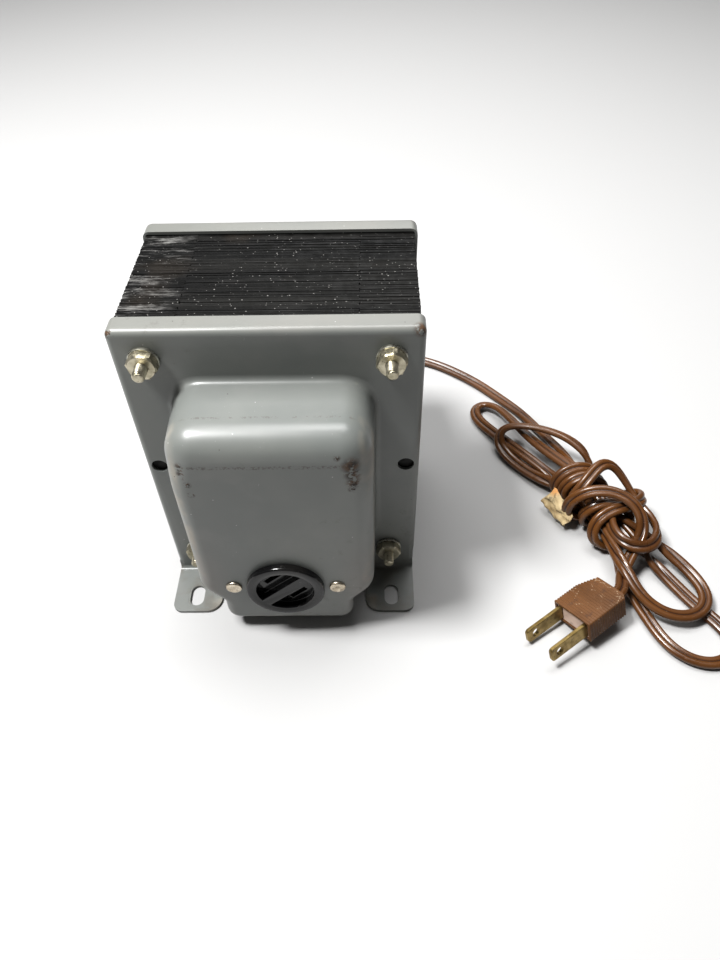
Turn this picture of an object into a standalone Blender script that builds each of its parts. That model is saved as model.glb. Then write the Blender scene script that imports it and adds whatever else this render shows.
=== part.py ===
"""Fixed-ratio autotransformer in a drawn steel case, with a two-wire receptacle and a flat cord.

X runs to the right of the receptacle side, Y to the back and Z up. The origin is on the floor,
under the middle of the case. Lengths are in metres.
"""

import math

import bmesh
import bpy
from mathutils import Matrix, Vector
from mathutils.geometry import interpolate_bezier

MM = 0.001
GAP = 0.3 * MM
OVERRUN = 2.0 * MM  # how far a cutter passes beyond what it cuts

# Laminated core: scrapless E and I sheets, all sizes from half the width of the middle leg.
LEG = 19.05 * MM
CORE_HALF_WIDTH = 2.5 * LEG
CORE_HEIGHT = 6.0 * LEG
CORE_BOTTOM = 6.0 * MM
CORE_MIDDLE = CORE_BOTTOM + CORE_HEIGHT / 2
STACK = 63.5 * MM
PACKETS = 4
JOINT_GAP = 0.15 * MM

# Drawn sheet-steel end bells.
SHEET = 1.1 * MM
BELL_HALF_WIDTH = CORE_HALF_WIDTH + GAP + SHEET
BELL_TOP = CORE_BOTTOM + CORE_HEIGHT + GAP + SHEET
PLATE_BOTTOM = 1.6 * MM
PLATE_FACE = STACK / 2 + GAP + SHEET
SKIRT_DEPTH = 7.6 * MM
SKIRT_BOTTOM = 12.0 * MM
BEND = 2.2 * MM
BEND_INSIDE = 0.6 * MM
CASE_CORNER = 2.6 * MM

# Hood drawn out of each bell, with a narrower lobe at its foot.
HOOD_DEPTH = 28.35 * MM
HOOD_FACE = PLATE_FACE + HOOD_DEPTH
HOOD_HALF_WIDTH = 33.2 * MM
HOOD_TOP = 102.3 * MM
HOOD_SHOULDER = 25.0 * MM
LOBE_HALF_WIDTH = 25.2 * MM
LOBE_SHOULDER = 16.5 * MM
LOBE_BOTTOM = 4.2 * MM
HOOD_FLARE = 2.4 * MM
HOOD_DRAFT = 0.6 * MM
TOP_EDGE_RADIUS = 9.8 * MM
SIDE_EDGE_RADIUS = 6.5 * MM
LOBE_EDGE_RADIUS = 4.0 * MM

# Mounting feet bent out of the plate, each with one slot.
FOOT_INNER = 29.3 * MM
FOOT_OUTER = 48.7 * MM
FOOT_LENGTH = 21.85 * MM
FOOT_BEND = 1.6 * MM
FOOT_INNER_CORNER = 6.0 * MM
FOOT_OUTER_CORNER = 3.8 * MM
FOOT_SKIN = 0.1 * MM  # how far the bend stays inside the plate and the tab
SLOT_X = 39.6 * MM
SLOT_Y = PLATE_FACE + 14.4 * MM
SLOT_WIDTH = 5.6 * MM
SLOT_LENGTH = 9.5 * MM

# Fasteners through the core.
BOLT_X = 38.5 * MM
BOLT_RISE = 48.0 * MM
BOLT_RADIUS = 2.08 * MM
BOLT_HOLE_RADIUS = 2.5 * MM
BOLT_PROUD = 9.4 * MM
BOLT_TIP = 0.5 * MM
NUT_FLATS = 8.73 * MM
NUT_THICK = 3.2 * MM
WASHER_RADIUS = 5.0 * MM
WASHER_THICK = 1.0 * MM
HEAD_FLATS = 7.3 * MM
HEAD_THICK = 3.0 * MM
MID_HOLE_X = 44.2 * MM
MID_HOLE_Z = 63.0 * MM
MID_HOLE_RADIUS = 2.95 * MM

# Coil around the middle leg, as radial build-up from the form outwards.
FORM_CLEARANCE = 0.4 * MM
FORM_WALL = 1.2 * MM
FORM_CORNER = 0.3 * MM
WINDING_CORNER = 1.0 * MM
FORM_HALF_LENGTH = 28.2 * MM
FORM_FLANGE_RISE = 34.6 * MM
FORM_FLANGE_REACH = 47.4 * MM
COIL_LAYERS = (
    ("common_winding", 6.6 * MM),
    ("layer_insulation", 0.6 * MM),
    ("series_winding", 4.0 * MM),
    ("coil_wrap", 0.7 * MM),
)

# Receptacle.
OUTLET_Z = 28.0 * MM
OUTLET_FLANGE_RADIUS = 14.3 * MM
OUTLET_BODY_RADIUS = 12.7 * MM
OUTLET_HOLE_RADIUS = 13.0 * MM
OUTLET_PROUD = 2.8 * MM
OUTLET_BACK = 10.8 * MM
OUTLET_CHAMFER = 0.85 * MM
POCKET_FRONT = 3.4 * MM
CONTACT_FRONT = 3.8 * MM
OUTLET_WALL = 1.5 * MM
OUTLET_TILT = math.radians(43.0)
RECESS_RADIUS = 10.6 * MM
RECESS_DEPTH = 3.2 * MM
BAR_HALF_WIDTH = 2.1 * MM
BLADE_SPACING = 12.7 * MM
BLADE_SLOT = (1.9 * MM, 8.0 * MM)
CONTACT = (0.8 * MM, 6.0 * MM)
RIVET_X = 19.05 * MM
RIVET_HEAD_RADIUS = 3.0 * MM
RIVET_HEAD_RISE = 1.3 * MM
RIVET_SHANK_RADIUS = 1.5 * MM
STRAP_THICK = 1.0 * MM
STRAP_ARM = 4.0 * MM  # beyond the rivet, and each side of it

# Leads inside the hoods.
LEAD_RADIUS = 0.9 * MM
SPLICE_CAP_PROFILE = ((4.2, 0.0), (4.2, 4.0), (3.4, 11.0), (2.2, 12.5))  # radius, distance, in mm

# Cord: flat two-wire, shown here as a round tube of about the same section.
CORD_RADIUS = 2.0 * MM
BUSHING_FLANGE_RADIUS = 7.4 * MM
BUSHING_NECK_RADIUS = 5.2 * MM
BUSHING_SLOT = (6.4 * MM, 4.8 * MM)
BUSHING_PROUD = 2.8 * MM
BUSHING_INSIDE = 4.5 * MM
BUSHING_CHAMFER = 1.2 * MM
BUSHING_Z = 27.0 * MM
HANK_HEIGHT = 9.0 * MM
KNOT_HEIGHT = 21.0 * MM
TAPE_BOTTOM = 1.0 * MM
TAPE_TOP = 12.0 * MM

# Plug: shell, sliding insert and two flat blades.
PLUG_ORIGIN = Vector((108.5, -64.5, 7.8)) * MM
PLUG_YAW = math.radians(-145.2)
PLUG_PITCH = math.radians(5.0)
PLUG_ROLL = math.radians(17.4)
PLUG_WIDTH = 18.2 * MM
PLUG_LENGTH = 20.4 * MM
PLUG_HEIGHT = 9.8 * MM
PLUG_WALL = 1.05 * MM
PLUG_TAPER_START = 11.0 * MM
PLUG_REAR_HALF = 6.0 * MM
CORD_EXIT_Y = 2.6 * MM
INSERT_LENGTH = 15.0 * MM
INSERT_SETBACK = 0.5 * MM
BLADE_LENGTH = 17.5 * MM
BLADE_WIDTH = 6.35 * MM
BLADE_THICK = 1.5 * MM
BLADE_ROOT = 9.0 * MM
BLADE_HOLE_RADIUS = 1.6 * MM
BLADE_HOLE_BACK = 4.2 * MM  # from the tip
BLADE_TIP_CHAMFER = (1.4 * MM, 1.2 * MM)  # along the blade, across it


# ---------------------------------------------------------------- helpers


def material(name, colour, roughness, metallic=0.0):
    made = bpy.data.materials.new(name)
    made.use_nodes = True
    shader = made.node_tree.nodes["Principled BSDF"]
    shader.inputs["Base Color"].default_value = (*colour, 1.0)
    shader.inputs["Roughness"].default_value = roughness
    shader.inputs["Metallic"].default_value = metallic
    made.diffuse_color = (*colour, 1.0)
    return made


def object_of(name, mesh, finish=None):
    obj = bpy.data.objects.new(name, mesh)
    bpy.context.scene.collection.objects.link(obj)
    if finish is not None:
        mesh.materials.append(finish)
    return obj


def mesh_of(name, bm):
    bmesh.ops.remove_doubles(bm, verts=bm.verts, dist=1e-6)
    bmesh.ops.recalc_face_normals(bm, faces=bm.faces)
    mesh = bpy.data.meshes.new(name)
    bm.to_mesh(mesh)
    bm.free()
    return mesh


def smooth(obj, degrees=35.0):
    obj.data.shade_smooth()
    obj.data.set_sharp_from_angle(angle=math.radians(degrees))


def loft(name, rings, finish=None):
    """Closed solid through rings of equally many points, capped flat at both ends."""
    bm = bmesh.new()
    loops = [[bm.verts.new(point) for point in ring] for ring in rings]
    for low, high in zip(loops, loops[1:]):
        for i in range(len(low)):
            j = (i + 1) % len(low)
            bm.faces.new((low[i], low[j], high[j], high[i]))
    bm.faces.new(loops[0][::-1])
    bm.faces.new(loops[-1])
    return object_of(name, mesh_of(name, bm), finish)


def prism(name, outline, low, high, plane="XZ", finish=None):
    """Outline swept straight along the axis that its plane leaves out."""
    place = {
        "XZ": lambda a, b, depth: Vector((a, depth, b)),
        "XY": lambda a, b, depth: Vector((a, b, depth)),
        "YZ": lambda a, b, depth: Vector((depth, a, b)),
    }[plane]
    rings = [[place(a, b, depth) for a, b in outline] for depth in (low, high)]
    return loft(name, rings, finish)


def circle(radius, segments, centre=(0.0, 0.0), start=0.0):
    return [
        (
            centre[0] + radius * math.cos(start + math.tau * i / segments),
            centre[1] + radius * math.sin(start + math.tau * i / segments),
        )
        for i in range(segments)
    ]


def rectangle(x_low, x_high, y_low, y_high):
    return [(x_low, y_low), (x_high, y_low), (x_high, y_high), (x_low, y_high)]


def slot_outline(width, length, centre, segments=6):
    """Round-ended slot, long along the second axis."""
    radius = width / 2
    straight = (length - width) / 2
    points = []
    for end, start in ((1, 0.0), (-1, math.pi)):
        for i in range(segments + 1):
            angle = start + math.pi * i / segments
            points.append(
                (
                    centre[0] + radius * math.cos(angle),
                    centre[1] + end * straight + radius * math.sin(angle),
                )
            )
    return points


def rounded_outline(corners, arc_steps, spacing=None):
    """Points and outward normals of a polygon whose corners (a, b, radius) are rounded."""
    found = []
    count = len(corners)
    for i, (a, b, radius) in enumerate(corners):
        before = Vector(corners[i - 1][:2])
        here = Vector((a, b))
        after = Vector(corners[(i + 1) % count][:2])
        came = (here - before).normalized()
        goes = (after - here).normalized()
        turn = math.atan2(came.x * goes.y - came.y * goes.x, came.dot(goes))
        side = math.copysign(1.0, turn)
        start = here - came * radius * math.tan(abs(turn) / 2)
        centre = start + Vector((-came.y, came.x)) * radius * side
        for step in range(arc_steps + 1):
            spoke = start - centre
            spoke.rotate(Matrix.Rotation(turn * step / arc_steps, 2))
            found.append((centre + spoke, spoke.normalized() * side))
    if spacing is None:
        return found
    dense = []
    for i, (point, normal) in enumerate(found):
        dense.append((point, normal))
        onward, next_normal = found[(i + 1) % len(found)]
        extra = int((onward - point).length / spacing)
        if normal.dot(next_normal) > 0.999:
            for k in range(1, extra + 1):
                dense.append((point.lerp(onward, k / (extra + 1)), normal))
    return dense


def operate(obj, other, operation):
    other.hide_render = True
    other.display_type = "WIRE"
    modifier = obj.modifiers.new(operation.title(), "BOOLEAN")
    modifier.operation = operation
    modifier.solver = "EXACT"
    modifier.object = other


def cut(obj, *cutters):
    for cutter in cutters:
        operate(obj, cutter, "DIFFERENCE")


def unite(obj, *others):
    for other in others:
        operate(obj, other, "UNION")


def empty(name, location=(0, 0, 0), rotation=(0, 0, 0)):
    frame = bpy.data.objects.new(name, None)
    frame.location = location
    frame.rotation_euler = rotation
    bpy.context.scene.collection.objects.link(frame)
    return frame


def parent_all(objects, frame):
    for obj in objects:
        obj.parent = frame


def smooth_route(points, per_span):
    """Points read from a smooth curve through the route's own points."""
    route = [Vector(point) for point in points]
    ends = [2 * route[0] - route[1]] + route + [2 * route[-1] - route[-2]]
    found = []
    for i in range(1, len(ends) - 2):
        handle_out = ends[i] + (ends[i + 1] - ends[i - 1]) / 6
        handle_in = ends[i + 1] - (ends[i + 2] - ends[i]) / 6
        span = interpolate_bezier(ends[i], handle_out, handle_in, ends[i + 1], per_span + 1)
        found += span[:-1]
    return found + [route[-1]]


def tube(name, points, radius, finish, resolution=2):
    curve = bpy.data.curves.new(name, "CURVE")
    curve.dimensions = "3D"
    curve.bevel_depth = radius
    curve.bevel_resolution = resolution
    curve.use_fill_caps = True
    spline = curve.splines.new("POLY")
    spline.points.add(len(points) - 1)
    for point, place in zip(spline.points, points):
        point.co = (*place, 1.0)
    return object_of(name, curve, finish)


# ---------------------------------------------------------------- core


def make_core(steel):
    """E and I sheets stacked in packets; every other packet is turned end for end."""
    thick = (STACK - (PACKETS - 1) * GAP) / PACKETS
    top = CORE_BOTTOM + CORE_HEIGHT
    for packet in range(PACKETS):
        side = 1 if packet % 2 else -1
        front = -STACK / 2 + packet * (thick + GAP)
        joint = 1.5 * LEG
        e_half = [
            (-CORE_HALF_WIDTH, CORE_BOTTOM),
            (joint - JOINT_GAP, CORE_BOTTOM),
            (joint - JOINT_GAP, CORE_BOTTOM + LEG),
            (-joint, CORE_BOTTOM + LEG),
            (-joint, CORE_BOTTOM + 2 * LEG),
            (joint - JOINT_GAP, CORE_BOTTOM + 2 * LEG),
            (joint - JOINT_GAP, top - 2 * LEG),
            (-joint, top - 2 * LEG),
            (-joint, top - LEG),
            (joint - JOINT_GAP, top - LEG),
            (joint - JOINT_GAP, top),
            (-CORE_HALF_WIDTH, top),
        ]
        i_bar = rectangle(joint + JOINT_GAP, CORE_HALF_WIDTH, CORE_BOTTOM, top)
        for kind, outline, hole_side in (("e", e_half, -1), ("i", i_bar, 1)):
            turned = [(-side * x, z) for x, z in outline]
            name = f"{kind}_laminations_{packet + 1}"
            sheets = prism(name, turned, front, front + thick, finish=steel)
            for end, level in (("low", -1), ("high", 1)):
                centre = (-side * hole_side * BOLT_X, CORE_MIDDLE + level * BOLT_RISE)
                hole = prism(
                    f"{name}_hole_{end}",
                    circle(BOLT_HOLE_RADIUS, 10, centre),
                    front - OVERRUN,
                    front + thick + OVERRUN,
                )
                cut(sheets, hole)


# ---------------------------------------------------------------- coil


def coil_ring(name, rise, reach, thick, half_length, radius, finish):
    """Rectangular turn-around with rounded corners, wound about the X axis."""
    rings = []
    for grow, depth in ((0, -1), (thick, -1), (thick, 1), (0, 1)):
        corners = [
            (-reach - grow, CORE_MIDDLE - rise - grow, radius + grow),
            (reach + grow, CORE_MIDDLE - rise - grow, radius + grow),
            (reach + grow, CORE_MIDDLE + rise + grow, radius + grow),
            (-reach - grow, CORE_MIDDLE + rise + grow, radius + grow),
        ]
        outline = rounded_outline(corners, 3)
        rings.append([Vector((depth * half_length, p.x, p.y)) for p, _ in outline])
    bm = bmesh.new()
    loops = [[bm.verts.new(point) for point in ring] for ring in rings]
    for low, high in zip(loops, loops[1:] + loops[:1]):
        for i in range(len(low)):
            j = (i + 1) % len(low)
            bm.faces.new((low[i], low[j], high[j], high[i]))
    return object_of(name, mesh_of(name, bm), finish)


def make_coil(finishes):
    """Form with two flanges and the layers wound on it; gives the outermost layer's height."""
    inner_rise = LEG + FORM_CLEARANCE
    inner_reach = STACK / 2 + FORM_CLEARANCE
    finish = finishes["coil_form"]
    form = coil_ring(
        "coil_form", inner_rise, inner_reach, FORM_WALL, FORM_HALF_LENGTH, FORM_CORNER, finish
    )
    for side, name in ((-1, "left"), (1, "right")):
        inner = (side * (FORM_HALF_LENGTH - FORM_WALL / 2), FORM_WALL / 2)
        flange = prism(
            f"form_flange_{name}",
            rectangle(
                -FORM_FLANGE_REACH,
                FORM_FLANGE_REACH,
                CORE_MIDDLE - FORM_FLANGE_RISE,
                CORE_MIDDLE + FORM_FLANGE_RISE,
            ),
            inner[0] - inner[1],
            inner[0] + inner[1],
            plane="YZ",
        )
        window = prism(
            f"form_window_{name}",
            rectangle(
                -inner_reach - FORM_WALL / 2,
                inner_reach + FORM_WALL / 2,
                CORE_MIDDLE - inner_rise - FORM_WALL / 2,
                CORE_MIDDLE + inner_rise + FORM_WALL / 2,
            ),
            inner[0] - 2 * inner[1],
            inner[0] + 2 * inner[1],
            plane="YZ",
        )
        cut(flange, window)
        unite(form, flange)
    rise = inner_rise + FORM_WALL + GAP
    reach = inner_reach + FORM_WALL + GAP
    half_length = FORM_HALF_LENGTH - FORM_WALL - GAP
    for name, thick in COIL_LAYERS:
        coil_ring(name, rise, reach, thick, half_length, WINDING_CORNER, finishes[name])
        rise += thick + GAP
        reach += thick + GAP
    return rise - GAP


# ---------------------------------------------------------------- end bells


def edge_radius(z):
    """Radius of the hood's outer edge: large along the top, smaller down the sides and round the lobe."""
    top_start = HOOD_TOP - 2.4 * TOP_EDGE_RADIUS
    top = min(max((z - top_start) / (1.6 * TOP_EDGE_RADIUS), 0.0), 1.0)
    lobe = min(max((HOOD_SHOULDER + LEG / 2 - z) / LEG, 0.0), 1.0)
    radius = SIDE_EDGE_RADIUS
    radius += (TOP_EDGE_RADIUS - SIDE_EDGE_RADIUS) * top * top * (3 - 2 * top)
    radius += (LOBE_EDGE_RADIUS - SIDE_EDGE_RADIUS) * lobe * lobe * (3 - 2 * lobe)
    return radius


def hood_outline():
    half = [
        (LOBE_HALF_WIDTH, LOBE_BOTTOM, 6.0 * MM),
        (LOBE_HALF_WIDTH, LOBE_SHOULDER, 5.0 * MM),
        (HOOD_HALF_WIDTH, HOOD_SHOULDER, 10.0 * MM),
        (HOOD_HALF_WIDTH, HOOD_TOP, 11.0 * MM),
    ]
    other = [(-x, z, radius) for x, z, radius in reversed(half)]
    return rounded_outline(half + other, 3, spacing=15 * MM)


def hood_rings(inset, flare):
    """Rings from the plate out to the face; inset is 0 outside and the sheet thickness inside."""
    outline = hood_outline()
    if flare:
        profile = [(-SHEET / 2, -HOOD_FLARE, None)]
        for step in range(3):
            angle = math.pi / 2 * step / 2
            rise = HOOD_FLARE * (1 - math.cos(angle))
            profile.append((rise, HOOD_FLARE * (math.sin(angle) - 1), None))
    else:
        profile = [(-SHEET - OVERRUN, inset, None), (HOOD_FLARE, inset, None)]
    for step in range(4):
        profile.append((None, inset + HOOD_DRAFT, math.pi / 2 * step / 3))
    rings = []
    for height, inward, angle in profile:
        ring = []
        for point, normal in outline:
            rise = height
            move = inward
            if angle is not None:
                radius = edge_radius(point.y)
                rise = HOOD_DEPTH - radius + (radius - inset) * math.sin(angle)
                move = inward + (radius - inset) * (1 - math.cos(angle))
            place = point - normal * move
            ring.append(Vector((place.x, -PLATE_FACE - rise, place.y)))
        rings.append(ring)
    return rings


def tray_rings(corners, bend, front, back):
    """Front face, its bend and the straight side behind it, round one outline."""
    outline = rounded_outline(corners, 3)
    rings = []
    for step in range(4):
        angle = math.pi / 2 * step / 3
        inward = bend * (1 - math.sin(angle))
        depth = front + bend * (1 - math.cos(angle))
        moved = [(point - normal * inward) for point, normal in outline]
        rings.append([Vector((point.x, depth, point.y)) for point in moved])
    rings.append([Vector((point.x, back, point.y)) for point, _ in outline])
    return rings


def tray_outside():
    low = -2 * BEND
    half = [(BELL_HALF_WIDTH, low, CASE_CORNER), (BELL_HALF_WIDTH, BELL_TOP, CASE_CORNER)]
    corners = half + [(-x, z, radius) for x, z, radius in reversed(half)]
    return tray_rings(corners, BEND, -PLATE_FACE, -PLATE_FACE + SKIRT_DEPTH)


def tray_inside():
    """Hollow behind the plate; below the skirt's end it is wider than the bell."""
    inner = BELL_HALF_WIDTH - SHEET
    wide = BELL_HALF_WIDTH + 2 * BEND
    half = [
        (wide, -4 * BEND, BEND_INSIDE),
        (wide, SKIRT_BOTTOM, BEND_INSIDE),
        (inner, SKIRT_BOTTOM, BEND_INSIDE),
        (inner, BELL_TOP - SHEET, BEND_INSIDE),
    ]
    corners = half + [(-x, z, radius) for x, z, radius in reversed(half)]
    front = -PLATE_FACE + SHEET
    return tray_rings(corners, BEND_INSIDE, front, front + SKIRT_DEPTH)


def foot_parts(name, side):
    """Tab with rounded free corners, its bend and the slot that goes through it."""
    bend_start = -PLATE_FACE - FOOT_BEND
    corners = [
        (FOOT_INNER, -PLATE_FACE - FOOT_LENGTH, FOOT_INNER_CORNER),
        (FOOT_OUTER, -PLATE_FACE - FOOT_LENGTH, FOOT_OUTER_CORNER),
        (FOOT_OUTER, bend_start + GAP, FOOT_SKIN),
        (FOOT_INNER, bend_start + GAP, FOOT_SKIN),
    ]
    outline = [(side * p.x, p.y) for p, _ in rounded_outline(corners, 4)]
    tab = prism(f"{name}_tab", outline, 0.0, SHEET, plane="XY")
    rise = FOOT_BEND + SHEET
    profile = []
    for step in range(5):
        angle = math.pi / 2 * step / 4
        profile.append((bend_start + rise * math.sin(angle), rise - rise * math.cos(angle)))
    profile += [
        (-PLATE_FACE + SHEET - FOOT_SKIN, rise),
        (-PLATE_FACE + SHEET - FOOT_SKIN, 2 * rise),
        (-PLATE_FACE + FOOT_SKIN, 2 * rise),
        (-PLATE_FACE + FOOT_SKIN, rise),
    ]
    for step in range(4, -1, -1):
        angle = math.pi / 2 * step / 4
        forward = bend_start + FOOT_BEND * math.sin(angle)
        profile.append((forward, rise - FOOT_BEND * math.cos(angle)))
    ends = sorted((side * (FOOT_INNER + FOOT_SKIN / 2), side * (FOOT_OUTER - FOOT_SKIN / 2)))
    bend = prism(f"{name}_bend", profile, ends[0], ends[1], plane="YZ")
    slot = prism(
        f"{name}_slot",
        slot_outline(SLOT_WIDTH, SLOT_LENGTH, (side * SLOT_X, -SLOT_Y)),
        -OVERRUN,
        SHEET + 2 * OVERRUN,
        plane="XY",
    )
    return tab, bend, slot


def make_bell(name, finish, face_holes):
    """Tray, hood and feet in one piece of sheet, built facing the front.

    Each face hole is (x, z, radius, segments).
    """
    bell = loft(name, tray_outside(), finish)
    hood = loft(f"{name}_hood", hood_rings(0.0, True))
    hollow_tray = loft(f"{name}_tray_inside", tray_inside())
    hollow_hood = loft(f"{name}_hood_inside", hood_rings(SHEET, False))
    wide = 2 * BELL_HALF_WIDTH
    under = rectangle(-wide, wide, -5 * OVERRUN, PLATE_BOTTOM)
    below = prism(f"{name}_below_plate", under, -2 * PLATE_FACE, 0.0)
    made = [bell, hood, hollow_tray, hollow_hood, below]
    cut(bell, below)
    unite(bell, hood)
    slots = []
    for side, word in ((-1, "left"), (1, "right")):
        tab, bend, slot = foot_parts(f"{name}_{word}", side)
        unite(bell, tab, bend)
        slots.append(slot)
        made += [tab, bend, slot]
    cut(bell, hollow_tray, hollow_hood, *slots)
    holes = [(x * MID_HOLE_X, MID_HOLE_Z, MID_HOLE_RADIUS, PLATE_FACE, 12) for x in (-1, 1)]
    for x in (-1, 1):
        for level in (-1, 1):
            z = CORE_MIDDLE + level * BOLT_RISE
            holes.append((x * BOLT_X, z, BOLT_HOLE_RADIUS, PLATE_FACE, 12))
    holes += [(*hole, HOOD_FACE, segments) for *hole, segments in face_holes]
    for number, (x, z, radius, face, segments) in enumerate(holes):
        outline = circle(radius, segments, (x, z))
        hole = prism(f"{name}_hole_{number}", outline, -face - OVERRUN, -face + OVERRUN)
        made.append(hole)
        cut(bell, hole)
    smooth(bell)
    return made


def make_bells(enamel):
    outlet_holes = [(0.0, OUTLET_Z, OUTLET_HOLE_RADIUS, 32)]
    outlet_holes += [(side * RIVET_X, OUTLET_Z, RIVET_SHANK_RADIUS + GAP, 10) for side in (-1, 1)]
    make_bell("front_end_bell", enamel, outlet_holes)
    cord_hole = (0.0, BUSHING_Z, BUSHING_NECK_RADIUS + GAP, 24)
    turned = empty("rear_frame", rotation=(0, 0, math.pi))
    parent_all(make_bell("rear_end_bell", enamel, [cord_hole]), turned)


# ---------------------------------------------------------------- fasteners


def turned_solid(name, profile, segments, finish=None, start=0.0):
    """Solid of revolution about -Y; profile is (radius, distance in front of the XZ plane)."""
    rings = []
    for radius, forward in profile:
        rings.append([Vector((x, -forward, z)) for x, z in circle(radius, segments, start=start)])
    return loft(name, rings, finish)


def make_fasteners(zinc, bright):
    washer_outer = PLATE_FACE + GAP + WASHER_THICK
    corners = [(x, z) for z in (1, -1) for x in (-1, 1)]
    for number, (side, level) in enumerate(corners, start=1):
        centre = (side * BOLT_X, 0.0, CORE_MIDDLE + level * BOLT_RISE)
        tip = PLATE_FACE + BOLT_PROUD
        head = -(washer_outer + GAP)
        profile = [
            (BOLT_RADIUS, head - HEAD_THICK / 3),
            (BOLT_RADIUS, tip - BOLT_TIP),
            (BOLT_RADIUS - BOLT_TIP, tip),
        ]
        bolt = turned_solid(f"through_bolt_{number}", profile, 12, zinc)
        corner = HEAD_FLATS / math.sqrt(3)
        profile = [(corner, head - HEAD_THICK), (corner, head)]
        hexagon = turned_solid(f"bolt_head_{number}", profile, 6)
        unite(bolt, hexagon)
        smooth(bolt)
        corner = NUT_FLATS / math.sqrt(3)
        seat = washer_outer + GAP
        profile = [(corner, seat), (corner, seat + NUT_THICK)]
        nut = turned_solid(f"hex_nut_{number}", profile, 6, zinc, start=math.radians(30))
        pieces = [bolt, hexagon, nut]
        for word, facing in (("front", 1), ("rear", -1)):
            faces = (facing * (PLATE_FACE + GAP), facing * washer_outer)
            profile = [(WASHER_RADIUS, depth) for depth in faces]
            pieces.append(turned_solid(f"{word}_washer_{number}", profile, 20, bright))
        ends = (-washer_outer - OVERRUN, tip + OVERRUN)
        profile = [(BOLT_RADIUS + GAP, depth) for depth in ends]
        bore = turned_solid(f"bolt_bore_{number}", profile, 12)
        pieces.append(bore)
        for piece in pieces[2:5]:
            cut(piece, bore)
            smooth(piece)
        for piece in pieces:
            piece.location = centre


# ---------------------------------------------------------------- receptacle


def half_moon(radius, low, high, side, segments=12):
    """Part of a disc beyond the bar, as an outline."""
    start = math.asin(BAR_HALF_WIDTH / radius)
    points = []
    for i in range(segments + 1):
        angle = start + (math.pi - 2 * start) * i / segments
        points.append((radius * math.cos(angle), side * radius * math.sin(angle)))
    return prism(f"recess_{side}", points, low, high)


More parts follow.
